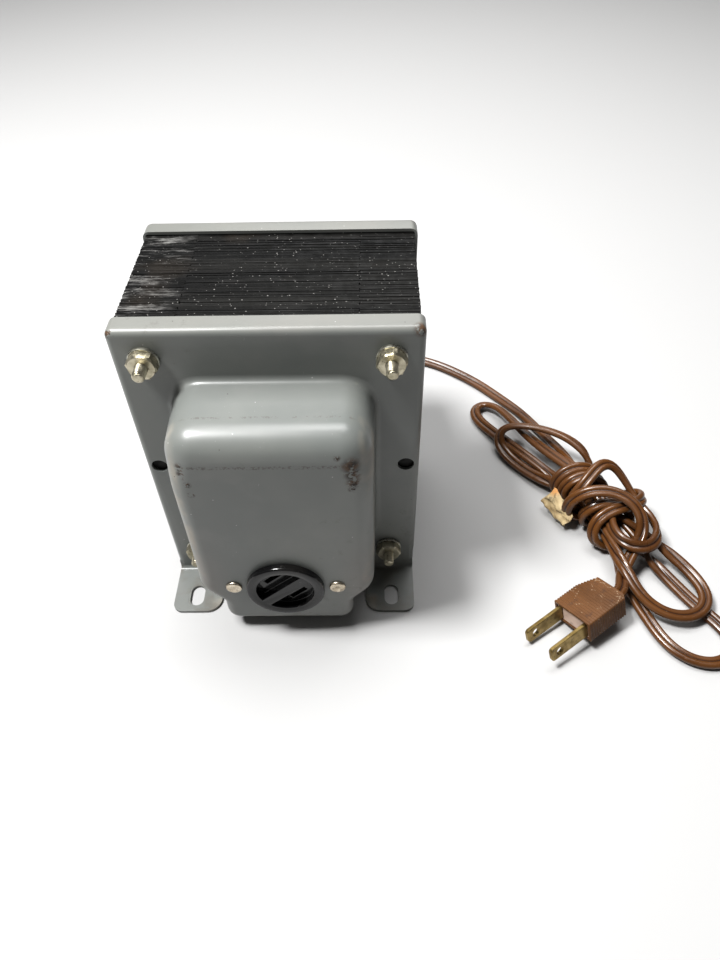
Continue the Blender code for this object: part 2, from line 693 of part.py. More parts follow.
def make_receptacle(bakelite, fibre, brass, nickel, steel):
    frame = empty("receptacle_frame", (0.0, -HOOD_FACE, OUTLET_Z), (0.0, -OUTLET_TILT, 0.0))
    body = turned_solid(
        "receptacle_body",
        [
            (OUTLET_BODY_RADIUS, -OUTLET_BACK),
            (OUTLET_BODY_RADIUS, GAP),
            (OUTLET_FLANGE_RADIUS, GAP),
            (OUTLET_FLANGE_RADIUS, OUTLET_PROUD - OUTLET_CHAMFER),
            (OUTLET_FLANGE_RADIUS - OUTLET_CHAMFER, OUTLET_PROUD),
        ],
        32,
        bakelite,
    )
    inner = OUTLET_BODY_RADIUS - OUTLET_WALL
    profile = [(inner, -OUTLET_BACK - OVERRUN), (inner, -POCKET_FRONT)]
    pocket = turned_solid("receptacle_pocket", profile, 24)
    cut(body, pocket)
    cover = -OUTLET_BACK - GAP
    profile = [(OUTLET_BODY_RADIUS, cover - OUTLET_WALL), (OUTLET_BODY_RADIUS, cover)]
    back = turned_solid("receptacle_back", profile, 24, fibre)
    pieces = [body, pocket, back]
    for side in (-1, 1):
        deep = -OUTLET_PROUD + RECESS_DEPTH
        recess = half_moon(RECESS_RADIUS, -OUTLET_PROUD - OVERRUN, deep, side)
        offset = side * BLADE_SPACING / 2
        wide = BLADE_SLOT[0] / 2
        long = BLADE_SLOT[1] / 2
        opening = rectangle(-long, long, offset - wide, offset + wide)
        slot = prism(f"blade_slot_{side}", opening, -OUTLET_PROUD, OUTLET_BACK / 2)
        cut(body, recess, slot)
        outer = offset + side * (wide + GAP)
        low, high = sorted((outer, outer + side * CONTACT[0]))
        half = CONTACT[1] / 2
        word = "upper" if side > 0 else "lower"
        contact = prism(
            f"receptacle_contact_{word}",
            rectangle(-half, half, low, high),
            CONTACT_FRONT,
            OUTLET_BACK + GAP + OUTLET_WALL,
            finish=brass,
        )
        way_out = prism(
            f"contact_way_{side}",
            rectangle(-half - GAP, half + GAP, low - GAP, high + GAP),
            OUTLET_BACK - OVERRUN,
            OUTLET_BACK + 2 * OVERRUN,
        )
        cut(back, way_out)
        pieces += [recess, slot, contact, way_out]
    parent_all(pieces, frame)
    smooth(body)
    smooth(back)

    strap_front = -HOOD_FACE + SHEET + GAP
    ends = (strap_front - OVERRUN, strap_front + STRAP_THICK + OVERRUN)
    corners = []
    for side in (1, -1):
        middle = (OUTLET_BODY_RADIUS, -OUTLET_HOLE_RADIUS - 2 * MM)
        arm = (RIVET_X + STRAP_ARM, -STRAP_ARM)
        for x, z in (middle, arm, (arm[0], -arm[1]), (middle[0], -middle[1])):
            corners.append((side * x, OUTLET_Z + side * z, 3 * MM))
    outline = [(p.x, p.y) for p, _ in rounded_outline(corners, 2)]
    strap = prism("receptacle_strap", outline, strap_front, strap_front + STRAP_THICK, finish=steel)
    bore = circle(OUTLET_HOLE_RADIUS, 24, (0.0, OUTLET_Z))
    cut(strap, prism("strap_bore", bore, *ends))
    for side, word in ((-1, "left"), (1, "right")):
        grip = SHEET + GAP + STRAP_THICK + GAP
        profile = [
            (RIVET_SHANK_RADIUS + 0.2 * MM, -grip - 0.9 * MM),
            (RIVET_SHANK_RADIUS + 0.8 * MM, -grip),
            (RIVET_SHANK_RADIUS, -grip),
            (RIVET_SHANK_RADIUS, GAP),
            (RIVET_HEAD_RADIUS, GAP),
            (RIVET_HEAD_RADIUS * 0.85, GAP + RIVET_HEAD_RISE * 0.6),
            (RIVET_HEAD_RADIUS * 0.45, GAP + RIVET_HEAD_RISE),
        ]
        rivet = turned_solid(f"receptacle_rivet_{word}", profile, 14, nickel)
        rivet.location = (side * RIVET_X, -HOOD_FACE, OUTLET_Z)
        smooth(rivet, 50)
        hole = circle(RIVET_SHANK_RADIUS + GAP, 10, (side * RIVET_X, OUTLET_Z))
        cut(strap, prism(f"strap_hole_{word}", hole, *ends))


# ---------------------------------------------------------------- wiring inside the hoods


def make_wiring(coil_rise, insulation, cap_plastic):
    """Leads from the coil to the receptacle in front, and to the cord through two splices behind."""
    coil_under = (CORE_MIDDLE - coil_rise - GAP) / MM
    contact_back = (-HOOD_FACE + OUTLET_BACK + GAP + OUTLET_WALL + GAP) / MM
    alongside = contact_back + LEAD_RADIUS / MM + 0.03
    leads = {
        "output_lead_common": [
            (-14, -43, coil_under),
            (-14, -42.5, 24),
            (-12, -43.5, 20),
            (-8.5, -46, 21),
            (-6.2, alongside, 25),
            (-5.5, alongside, 29),
            (-5.5, alongside, 33),
        ],
        "output_lead_tap": [
            (19, -43, coil_under),
            (19, -42.5, 23),
            (17, -41, 17),
            (11, -40.5, 15),
            (6.5, -42, 18.5),
            (5.5, -45, 21.8),
            (5.5, contact_back, 22.2),
        ],
    }
    for word, side in (("common", -1), ("line", 1)):
        leads[f"input_lead_{word}"] = [
            (side * 20, 44, coil_under),
            (side * 20.5, 44, 22),
            (side * 21, 45, 17),
            (side * 18, 46, 13.5),
            (side * 14.3, 46, 13),
        ]
        leads[f"cord_conductor_{word}"] = [
            (side * 1.7, 53, 26.5),
            (side * 2.2, 50.5, 24),
            (side * 3, 49.5, 19),
            (side * 1.5, 51, 14),
            (side * 1.0, 52.5, 10),
        ]
        profile = [(radius * MM, depth * MM) for radius, depth in SPLICE_CAP_PROFILE]
        cap = turned_solid(f"splice_cap_{word}", profile, 12, cap_plastic)
        cap.location = (side * 14.0 * MM, 46.0 * MM, 13.0 * MM)
        cap.rotation_euler = (0.0, 0.0, -side * math.pi / 2)
        smooth(cap)
    for name, route in leads.items():
        points = smooth_route([Vector(point) * MM for point in route], 2)
        tube(name, points, LEAD_RADIUS, insulation[name], resolution=1)


# ---------------------------------------------------------------- cord


LEAD_ROUTE = [
    (0, 57.0, 27.0),
    (0, 64.5, 27.0),
    (0.5, 72, 25.5),
    (2.5, 81, 20.5),
    (7.5, 91, 12.5),
    (16, 100, 5.6),
    (28, 106, 2.6),
    (42, 107.5, 2.3),
    (56, 105, 2.3),
    (69, 99, 2.3),
    (81, 89.5, 2.3),
    (88.6, 82.2, 2.3),
]

TAIL_ROUTE = [
    (129.9, -41.6, 6.6),
    (130.9, -44.2, 8.2),
    (131.6, -47.2, 9.6),
    (131.6, -50.2, 10.4),
    (130.0, -52.6, 10.6),
    (126.9, -54.75, 10.4),
]

HANK_OUTLINE = [
    (84, 73), (82, 60), (91, 41), (94, 23), (104, 8), (107, -10), (116, -26), (123, -36),
    (129, -38.5), (135, -41), (137, -56), (137, -70), (144, -85), (158, -91), (169, -84),
    (173, -68), (173, -50), (163, -36), (156, -18), (159, -4), (152, 14), (143, 32),
    (128, 45), (112, 61), (95, 77),
]


def make_cord(brown, tape_paper):
    tube("cord_lead", smooth_route([Vector(p) * MM for p in LEAD_ROUTE], 3), CORD_RADIUS, brown)
    tube("cord_tail", smooth_route([Vector(p) * MM for p in TAIL_ROUTE], 2), CORD_RADIUS, brown)

    outline = []
    count = len(HANK_OUTLINE)
    for i in range(count):
        a, b, c, d = (Vector((*HANK_OUTLINE[(i + k - 1) % count], 0)) * MM for k in range(4))
        span = interpolate_bezier(b, b + (c - a) / 6, c - (d - b) / 6, c, 3)
        outline += [(point.x, point.y) for point in span[:-1]]
    hank = prism("cord_hank", outline, 0.0, HANK_HEIGHT, plane="XY", finish=brown)
    half = [(30 * MM, -15 * MM, 12 * MM), (30 * MM, 16 * MM, 13 * MM)]
    corners = half + [(4 * MM - x, y, radius) for x, y, radius in reversed(half)]
    knot_outline = rounded_outline(corners, 3)
    rings = []
    for inward, rise in ((0.0, 0.05), (0.0, 0.6), (2.5 * MM, 0.85), (7 * MM, 1.0)):
        moved = [point - normal * inward for point, normal in knot_outline]
        rings.append([Vector((point.x, point.y, rise * KNOT_HEIGHT)) for point in moved])
    knot = loft("knot_dome", rings)
    knot.location = (129.5 * MM, 1.0 * MM, 0.0)
    knot.rotation_euler = (0.0, 0.0, math.radians(-64.0))
    unite(hank, knot)
    smooth(hank, 40)

    corners = [
        (-7 * MM, -0.7 * MM, 0.3 * MM),
        (0, -1.7 * MM, 3 * MM),
        (7 * MM, -0.7 * MM, 0.3 * MM),
        (7 * MM, 0.7 * MM, 0.3 * MM),
        (0, -0.3 * MM, 3 * MM),
        (-7 * MM, 0.7 * MM, 0.3 * MM),
    ]
    outline = [(p.x, p.y) for p, _ in rounded_outline(corners, 2)]
    tape = prism("tape_tag", outline, TAPE_BOTTOM, TAPE_TOP, plane="XY", finish=tape_paper)
    tape.location = (103.6 * MM, -6.0 * MM, 0.0)
    tape.rotation_euler = (0.0, 0.0, math.radians(-74.0))


def make_bushing(nylon):
    bushing = turned_solid(
        "cord_bushing",
        [
            (BUSHING_NECK_RADIUS, -BUSHING_INSIDE),
            (BUSHING_NECK_RADIUS, GAP),
            (BUSHING_FLANGE_RADIUS, GAP),
            (BUSHING_FLANGE_RADIUS, BUSHING_PROUD - BUSHING_CHAMFER),
            (BUSHING_FLANGE_RADIUS - BUSHING_CHAMFER, BUSHING_PROUD),
        ],
        24,
        nylon,
    )
    way = prism(
        "bushing_way",
        [(b, a) for a, b in slot_outline(BUSHING_SLOT[1], BUSHING_SLOT[0], (0.0, 0.0))],
        -BUSHING_PROUD - OVERRUN,
        BUSHING_INSIDE + OVERRUN,
    )
    frame = empty("bushing_frame", (0.0, HOOD_FACE, BUSHING_Z), (0.0, 0.0, math.pi))
    parent_all([bushing, way], frame)
    cut(bushing, way)
    smooth(bushing)


# ---------------------------------------------------------------- plug


def plug_outline(front, back, half, corner, steps):
    """Plan of the shell or the insert: square front and one long shoulder narrowing to the rear."""
    narrow = PLUG_REAR_HALF - (PLUG_WIDTH / 2 - half)
    corners = [
        (front, -half, 0.1 * MM),
        (front, half, 0.1 * MM),
        (back + 1.5 * MM, half, corner),
        (back, half - 2.4 * MM, corner),
        (back, -narrow, corner),
        (-PLUG_TAPER_START, -half, 2 * corner),
    ]
    return [(p.x, p.y) for p, _ in rounded_outline(corners, steps)]


def make_plug(brown, pale, brass):
    """Shell fixed on the cord; the insert and its blades slide out of the front."""
    frame = empty("plug_frame", PLUG_ORIGIN)
    frame.rotation_euler = (PLUG_ROLL, PLUG_PITCH, PLUG_YAW)
    half_height = PLUG_HEIGHT / 2
    outline = plug_outline(0.0, -PLUG_LENGTH, PLUG_WIDTH / 2, 1.2 * MM, 2)
    shell = prism("plug_shell", outline, -half_height, half_height, plane="XY", finish=brown)
    hollow_depth = INSERT_SETBACK + INSERT_LENGTH + 3 * GAP
    hollow_half = PLUG_WIDTH / 2 - PLUG_WALL
    hollow = prism(
        "plug_hollow",
        plug_outline(OVERRUN, -hollow_depth, hollow_half, 0.4 * MM, 1),
        -half_height + PLUG_WALL,
        half_height - PLUG_WALL,
        plane="XY",
    )
    cord_way = prism(
        "plug_cord_way",
        circle(CORD_RADIUS - 0.1 * MM, 12, (CORD_EXIT_Y, 0.0)),
        -PLUG_LENGTH - OVERRUN,
        -hollow_depth + OVERRUN / 2,
        plane="YZ",
    )
    cut(shell, hollow, cord_way)
    insert = prism(
        "plug_insert",
        plug_outline(-INSERT_SETBACK, -INSERT_SETBACK - INSERT_LENGTH, hollow_half - GAP, 0.4 * MM, 1),
        -half_height + PLUG_WALL + GAP,
        half_height - PLUG_WALL - GAP,
        plane="XY",
        finish=pale,
    )
    pieces = [shell, hollow, cord_way, insert]
    wide = BLADE_WIDTH / 2
    tip = BLADE_LENGTH
    along, across = BLADE_TIP_CHAMFER
    for side, word in ((-1, "left"), (1, "right")):
        middle = side * BLADE_SPACING / 2
        faces = (middle - BLADE_THICK / 2, middle + BLADE_THICK / 2)
        profile = [
            (-BLADE_ROOT, -wide),
            (tip - along, -wide),
            (tip, across - wide),
            (tip, wide - across),
            (tip - along, wide),
            (-BLADE_ROOT, wide),
        ]
        blade = prism(f"plug_blade_{word}", profile, *faces, finish=brass)
        opening = circle(BLADE_HOLE_RADIUS, 12, (tip - BLADE_HOLE_BACK, 0.0))
        ends = (faces[0] - OVERRUN, faces[1] + OVERRUN)
        hole = prism(f"blade_hole_{word}", opening, *ends)
        cut(blade, hole)
        room = rectangle(-BLADE_ROOT - GAP, OVERRUN, -wide - GAP, wide + GAP)
        seat = prism(f"blade_seat_{word}", room, faces[0] - GAP, faces[1] + GAP)
        cut(insert, seat)
        pieces += [blade, hole, seat]
    parent_all(pieces, frame)


# ---------------------------------------------------------------- build


def main():
    for obj in list(bpy.data.objects):
        bpy.data.objects.remove(obj, do_unlink=True)
    enamel = material("grey_enamel", (0.20, 0.22, 0.215), 0.38)
    steel = material("varnished_laminations", (0.018, 0.018, 0.018), 0.5)
    zinc = material("zinc_plate", (0.55, 0.53, 0.45), 0.35, 1.0)
    bright = material("bright_washer", (0.62, 0.62, 0.58), 0.35, 1.0)
    bakelite = material("black_bakelite", (0.012, 0.012, 0.012), 0.18)
    fibre = material("grey_fibre", (0.12, 0.12, 0.11), 0.8)
    brass = material("dull_brass", (0.50, 0.40, 0.20), 0.4, 1.0)
    nickel = material("nickel_rivet", (0.60, 0.55, 0.46), 0.3, 1.0)
    strap_steel = material("strap_steel", (0.45, 0.45, 0.45), 0.4, 1.0)
    copper = material("enamelled_copper", (0.50, 0.20, 0.06), 0.35, 0.9)
    paper = material("kraft_paper", (0.42, 0.30, 0.17), 0.85)
    form_board = material("form_board", (0.30, 0.20, 0.11), 0.85)
    brown_cord = material("brown_cord_vinyl", (0.16, 0.055, 0.022), 0.3)
    brown_plug = material("brown_plug_plastic", (0.17, 0.085, 0.05), 0.5)
    pale = material("pale_insert_plastic", (0.55, 0.42, 0.33), 0.55)
    tape_paper = material("masking_tape", (0.62, 0.50, 0.30), 0.8)
    cap_plastic = material("splice_cap_plastic", (0.08, 0.02, 0.02), 0.4)
    black_nylon = material("black_nylon", (0.015, 0.015, 0.015), 0.45)
    white_lead = material("white_lead_insulation", (0.6, 0.58, 0.5), 0.5)
    red_lead = material("red_lead_insulation", (0.4, 0.03, 0.02), 0.5)
    black_lead = material("black_lead_insulation", (0.02, 0.02, 0.02), 0.5)

    make_core(steel)
    coil_rise = make_coil(
        {
            "coil_form": form_board,
            "common_winding": copper,
            "layer_insulation": paper,
            "series_winding": copper,
            "coil_wrap": paper,
        }
    )
    make_bells(enamel)
    make_fasteners(zinc, bright)
    make_receptacle(bakelite, fibre, brass, nickel, strap_steel)
    make_wiring(
        coil_rise,
        {
            "output_lead_common": white_lead,
            "output_lead_tap": red_lead,
            "input_lead_common": white_lead,
            "input_lead_line": black_lead,
            "cord_conductor_common": brown_cord,
            "cord_conductor_line": brown_cord,
        },
        cap_plastic,
    )
    make_bushing(black_nylon)
    make_cord(brown_cord, tape_paper)
    make_plug(brown_plug, pale, brass)


main()
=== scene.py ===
"""Looks of the enclosed autotransformer: camera, light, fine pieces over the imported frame, materials.

X runs to the right of the receptacle side, Y to the back and Z up. Lengths are in millimetres
until they meet Blender, where MM turns them into metres.
"""

import math

import bmesh
import bpy
import numpy as np
from mathutils import Matrix, Vector
from mathutils.geometry import interpolate_bezier


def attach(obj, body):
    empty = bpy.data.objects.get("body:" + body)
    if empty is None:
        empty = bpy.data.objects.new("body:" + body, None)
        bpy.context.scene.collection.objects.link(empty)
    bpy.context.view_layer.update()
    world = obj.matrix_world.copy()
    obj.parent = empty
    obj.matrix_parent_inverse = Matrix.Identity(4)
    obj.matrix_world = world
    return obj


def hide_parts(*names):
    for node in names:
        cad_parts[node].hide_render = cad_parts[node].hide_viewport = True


MM = 0.001
UNIT = "unit"
SLIDER = "plug_slider"

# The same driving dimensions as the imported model's.
LEG = 19.05
CORE_BOTTOM = 6.0
CORE_HALF_WIDTH = 2.5 * LEG
CORE_HEIGHT = 6.0 * LEG
CORE_MIDDLE = CORE_BOTTOM + CORE_HEIGHT / 2
STACK = 63.5
GAP = 0.3
SHEET = 1.1
BELL_HALF_WIDTH = CORE_HALF_WIDTH + GAP + SHEET
BELL_TOP = CORE_BOTTOM + CORE_HEIGHT + GAP + SHEET
PLATE_BOTTOM = 1.6
PLATE_FACE = STACK / 2 + GAP + SHEET
SKIRT_DEPTH = 7.6
SKIRT_BOTTOM = 12.0
BEND = 2.2
CASE_CORNER = 2.6
HOOD_DEPTH = 28.35
HOOD_FACE = PLATE_FACE + HOOD_DEPTH
HOOD_HALF_WIDTH = 33.2
HOOD_TOP = 102.3
HOOD_SHOULDER = 25.0
LOBE_HALF_WIDTH = 25.2
LOBE_SHOULDER = 16.5
LOBE_BOTTOM = 4.2
HOOD_FLARE = 2.4
HOOD_DRAFT = 0.6
TOP_EDGE_RADIUS = 9.8
SIDE_EDGE_RADIUS = 6.5
LOBE_EDGE_RADIUS = 4.0
FOOT_INNER = 29.3
FOOT_OUTER = 48.7
FOOT_LENGTH = 21.85
FOOT_BEND = 1.6
SLOT_X = 39.6
SLOT_Y = PLATE_FACE + 14.4
SLOT_WIDTH = 5.6
SLOT_LENGTH = 9.5
BOLT_X = 38.5
BOLT_RISE = 48.0
BOLT_RADIUS = 2.08
BOLT_HOLE_RADIUS = 2.5
BOLT_PITCH = 0.79
BOLT_PROUD = 9.4
NUT_FLATS = 8.73
NUT_THICK = 3.2
WASHER_RADIUS = 5.0
WASHER_THICK = 1.0
HEAD_FLATS = 7.3
HEAD_THICK = 3.0
MID_HOLE = (44.2, 63.0, 2.95)
OUTLET_Z = 28.0
OUTLET_FLANGE_RADIUS = 14.3
OUTLET_BODY_RADIUS = 12.7
OUTLET_PROUD = 2.8
OUTLET_BACK = 10.8
OUTLET_TILT = math.radians(43.0)
RECESS_RADIUS = 10.6
RECESS_DEPTH = 3.2
BAR_HALF_WIDTH = 2.1
BLADE_SPACING = 12.7
RIVET_X = 19.05
BUSHING_Z = 27.0
SLEEVE_LENGTH = 22.0
PLUG_ORIGIN = Vector((108.5, -64.5, 7.8))
PLUG_TURN = (math.radians(17.4), math.radians(5.0), math.radians(-145.2))
PLUG_WIDTH = 18.2
PLUG_LENGTH = 20.4
PLUG_HEIGHT = 9.8
PLUG_TAPER_START = 11.0
PLUG_REAR_HALF = 6.0
PLUG_WALL = 1.05
INSERT_SETBACK = 0.5
INSERT_LENGTH = 15.0
BLADE_LENGTH = 17.5
BLADE_WIDTH = 6.35
BLADE_THICK = 1.5

# Flat two-wire cord.
CORD_WIDTH = 5.3
CORD_THICK = 2.75
CORD_STEP = 1.6
ROUTE_STEP = 2.0
STRAND_SPACING = 3.7  # aimed at between centre lines, not reached everywhere; less than CORD_WIDTH
MOST_SAGITTA = 3.2  # of eight steps of the route, past which a bend is eased
MOST_PUSH = 0.5
HELD_START = 8
HELD_END = 3
KNOT_START = 62.0
KNOT_END = 122.0
KNOT_RIGHT = 4.5
KNOT_HEIGHT = 9.0

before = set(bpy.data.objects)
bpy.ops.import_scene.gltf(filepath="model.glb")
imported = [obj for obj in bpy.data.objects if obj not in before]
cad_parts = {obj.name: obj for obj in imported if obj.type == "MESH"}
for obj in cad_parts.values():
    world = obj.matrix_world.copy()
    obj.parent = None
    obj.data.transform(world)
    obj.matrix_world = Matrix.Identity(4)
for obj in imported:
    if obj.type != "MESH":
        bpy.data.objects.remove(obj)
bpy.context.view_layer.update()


# ---------------------------------------------------------------- camera, light and floor


def make_camera():
    data = bpy.data.cameras.new("camera")
    data.sensor_fit = "AUTO"
    data.sensor_width = 36.0
    data.lens = 27.19
    data.clip_start = 0.01
    data.dof.use_dof = False
    camera = bpy.data.objects.new("camera", data)
    right = Vector((0.99983, 0.00496, -0.01755))
    down = Vector((-0.00813, -0.74003, -0.67253))
    forward = right.cross(down)
    turn = Matrix((right, -down, -forward)).transposed().to_4x4()
    camera.matrix_world = Matrix.Translation(Vector((32.0, -212.0, 251.45)) * MM) @ turn
    bpy.context.scene.collection.objects.link(camera)
    bpy.context.scene.camera = camera


def area_light(name, place, aim, size, power, colour=(1.0, 1.0, 1.0)):
    data = bpy.data.lights.new(name, "AREA")
    data.shape = "RECTANGLE"
    data.size, data.size_y = size
    data.energy = power
    data.color = colour
    light = bpy.data.objects.new(name, data)
    light.location = place
    light.rotation_euler = (Vector(aim) - Vector(place)).to_track_quat("-Z", "Y").to_euler()
    bpy.context.scene.collection.objects.link(light)


def make_stage():
    world = bpy.data.worlds.new("studio")
    world.use_nodes = True
    sky = world.node_tree.nodes["Background"]
    sky.inputs["Color"].default_value = (1.0, 1.0, 1.0, 1.0)
    sky.inputs["Strength"].default_value = 0.10
    bpy.context.scene.world = world
    bpy.context.scene.view_settings.view_transform = "Standard"
    bpy.context.scene.view_settings.gamma = 0.9
    bpy.context.scene.view_settings.exposure = 0.1
    area_light("key", (-0.42, -0.09, 0.98), (0.03, 0.0, 0.06), (0.22, 0.22), 19.0)
    area_light("overhead", (0.06, 0.24, 0.95), (0.06, 0.12, 0.0), (0.6, 0.4), 7.0)
    area_light("back_fill", (0.1, 0.9, 0.7), (0.0, 0.0, 0.05), (0.7, 0.5), 2.0)
    bm = bmesh.new()
    bmesh.ops.create_grid(bm, x_segments=2, y_segments=2, size=3.0)
    mesh = bpy.data.meshes.new("floor")
    bm.to_mesh(mesh)
    bm.free()
    floor = bpy.data.objects.new("floor", mesh)
    floor.location = (0.0, 0.0, -0.0002)
    bpy.context.scene.collection.objects.link(floor)
    paint = bpy.data.materials.new("floor")
    paint.use_nodes = True
    shader = paint.node_tree.nodes["Principled BSDF"]
    shader.inputs["Base Color"].default_value = (0.46, 0.458, 0.455, 1.0)
    shader.inputs["Roughness"].default_value = 0.9
    shader.inputs["Specular IOR Level"].default_value = 0.1
    mesh.materials.append(paint)


# ---------------------------------------------------------------- mesh helpers


def object_of(name, mesh, finish=None):
    obj = bpy.data.objects.new(name, mesh)
    bpy.context.scene.collection.objects.link(obj)
    if finish is not None:
        mesh.materials.append(finish)
    return obj


def mesh_of(name, bm, scale=MM):
    bmesh.ops.remove_doubles(bm, verts=bm.verts, dist=1e-4)
    bmesh.ops.recalc_face_normals(bm, faces=bm.faces)
    bmesh.ops.scale(bm, vec=(scale, scale, scale), verts=bm.verts)
    mesh = bpy.data.meshes.new(name)
    bm.to_mesh(mesh)
    bm.free()
    return mesh


def smooth(obj, degrees=35.0):
    obj.data.shade_smooth()
    obj.data.set_sharp_from_angle(angle=math.radians(degrees))


def loft(name, rings, finish=None, closed=False):
    """Solid through rings of equally many points: capped flat at its ends, or closed into a hoop."""
    bm = bmesh.new()
    loops = [[bm.verts.new(point) for point in ring] for ring in rings]
    onward = loops[1:] + loops[:1] if closed else loops[1:]
    for low, high in zip(loops, onward):
        for i in range(len(low)):
            j = (i + 1) % len(low)
            bm.faces.new((low[i], low[j], high[j], high[i]))
    if not closed:
        bm.faces.new(loops[0][::-1])
        bm.faces.new(loops[-1])
    return object_of(name, mesh_of(name, bm), finish)


def prism(name, outline, low, high, plane="XZ", finish=None):
    """Outline swept straight along the axis that its plane leaves out."""
    place = {
        "XZ": lambda a, b, depth: Vector((a, depth, b)),
        "XY": lambda a, b, depth: Vector((a, b, depth)),
        "YZ": lambda a, b, depth: Vector((depth, a, b)),
    }[plane]
    return loft(name, [[place(a, b, depth) for a, b in outline] for depth in (low, high)], finish)


def circle(radius, segments, centre=(0.0, 0.0), start=0.0):
    return [
        (
            centre[0] + radius * math.cos(start + math.tau * i / segments),
            centre[1] + radius * math.sin(start + math.tau * i / segments),
        )
        for i in range(segments)
    ]


def quarter(steps):
    """Angles from 0 to a right angle, both ends included."""
    return [math.pi / 2 * step / steps for step in range(steps + 1)]


def rectangle(left, low, right, high):
    return [(left, low), (right, low), (right, high), (left, high)]


def slot_outline(width, length, centre, segments=10):
    radius = width / 2
    straight = (length - width) / 2
    points = []
    for end, start in ((1, 0.0), (-1, math.pi)):
        for i in range(segments + 1):
            angle = start + math.pi * i / segments
            points.append(
                (
                    centre[0] + radius * math.cos(angle),
                    centre[1] + end * straight + radius * math.sin(angle),
                )
            )
    return points


def rounded_outline(corners, arc_steps, spacing=None):
    """Points and outward normals of a polygon whose corners (a, b, radius) are rounded."""
    found = []
    count = len(corners)
    for i, (a, b, radius) in enumerate(corners):
        before = Vector(corners[i - 1][:2])
        here = Vector((a, b))
        after = Vector(corners[(i + 1) % count][:2])
        came = (here - before).normalized()
        goes = (after - here).normalized()
        turn = math.atan2(came.x * goes.y - came.y * goes.x, came.dot(goes))
        side = math.copysign(1.0, turn)
        start = here - came * radius * math.tan(abs(turn) / 2)
        centre = start + Vector((-came.y, came.x)) * radius * side
        for step in range(arc_steps + 1):
            spoke = start - centre
            spoke.rotate(Matrix.Rotation(turn * step / arc_steps, 2))
            found.append((centre + spoke, spoke.normalized() * side))
    if spacing is None:
        return found
    dense = []
    for i, (point, normal) in enumerate(found):
        dense.append((point, normal))
        onward, next_normal = found[(i + 1) % len(found)]
        extra = int((onward - point).length / spacing)
        if normal.dot(next_normal) > 0.999:
            for k in range(1, extra + 1):
                dense.append((point.lerp(onward, k / (extra + 1)), normal))
    return dense


def turned_rings(profile, segments, start=0.0):
    """Rings of a solid of revolution about -Y; profile is (radius, distance in front)."""
    return [
        [Vector((x, -forward, z)) for x, z in circle(radius, segments, start=start)]
        for radius, forward in profile
    ]


def combine(obj, other, operation):
    """Boolean with the result applied; the other shape goes away."""
    modifier = obj.modifiers.new(operation, "BOOLEAN")
    modifier.operation = operation
    modifier.solver = "EXACT"
    modifier.object = other
    bpy.context.view_layer.update()
    graph = bpy.context.evaluated_depsgraph_get()
    made = bpy.data.meshes.new_from_object(obj.evaluated_get(graph))
    obj.modifiers.clear()
    obj.data = made
    bpy.data.objects.remove(other, do_unlink=True)


def cut(obj, *cutters):
    for cutter in cutters:
        combine(obj, cutter, "DIFFERENCE")


def unite(obj, *others):
    for other in others:
        combine(obj, other, "UNION")


def round_edges(obj, width, segments=3, degrees=40.0):
    bevel = obj.modifiers.new("rounded", "BEVEL")
    bevel.width = width * MM
    bevel.segments = segments
    bevel.limit_method = "ANGLE"
    bevel.angle_limit = math.radians(degrees)
    bevel.harden_normals = False


def place(obj, matrix):
    obj.data.transform(matrix)


def at(x, y, z):
    return Matrix.Translation(Vector((x, y, z)) * MM)


def finish_piece(obj, body, slot, *nodes):
    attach(obj, body)
    if nodes:
        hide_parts(*nodes)


# ---------------------------------------------------------------- cord

AXIS_START = Vector((86.0, 70.0))
AXIS_ALONG = Vector((0.443, -0.8966))
AXIS_RIGHT = Vector((0.8966, 0.443))

LEAD = [
    (0.0, 59.0, 27.0), (0.0, 66.0, 27.0), (0.5, 72.0, 25.5), (2.5, 81.0, 20.5), (7.5, 91.0, 12.5),
    (16.0, 100.0, 5.6), (28.0, 106.0, 2.6), (42.0, 107.5, 1.7), (56.0, 105.0, 1.7),
    (69.0, 99.0, 1.7), (81.0, 89.5, 1.7),
]

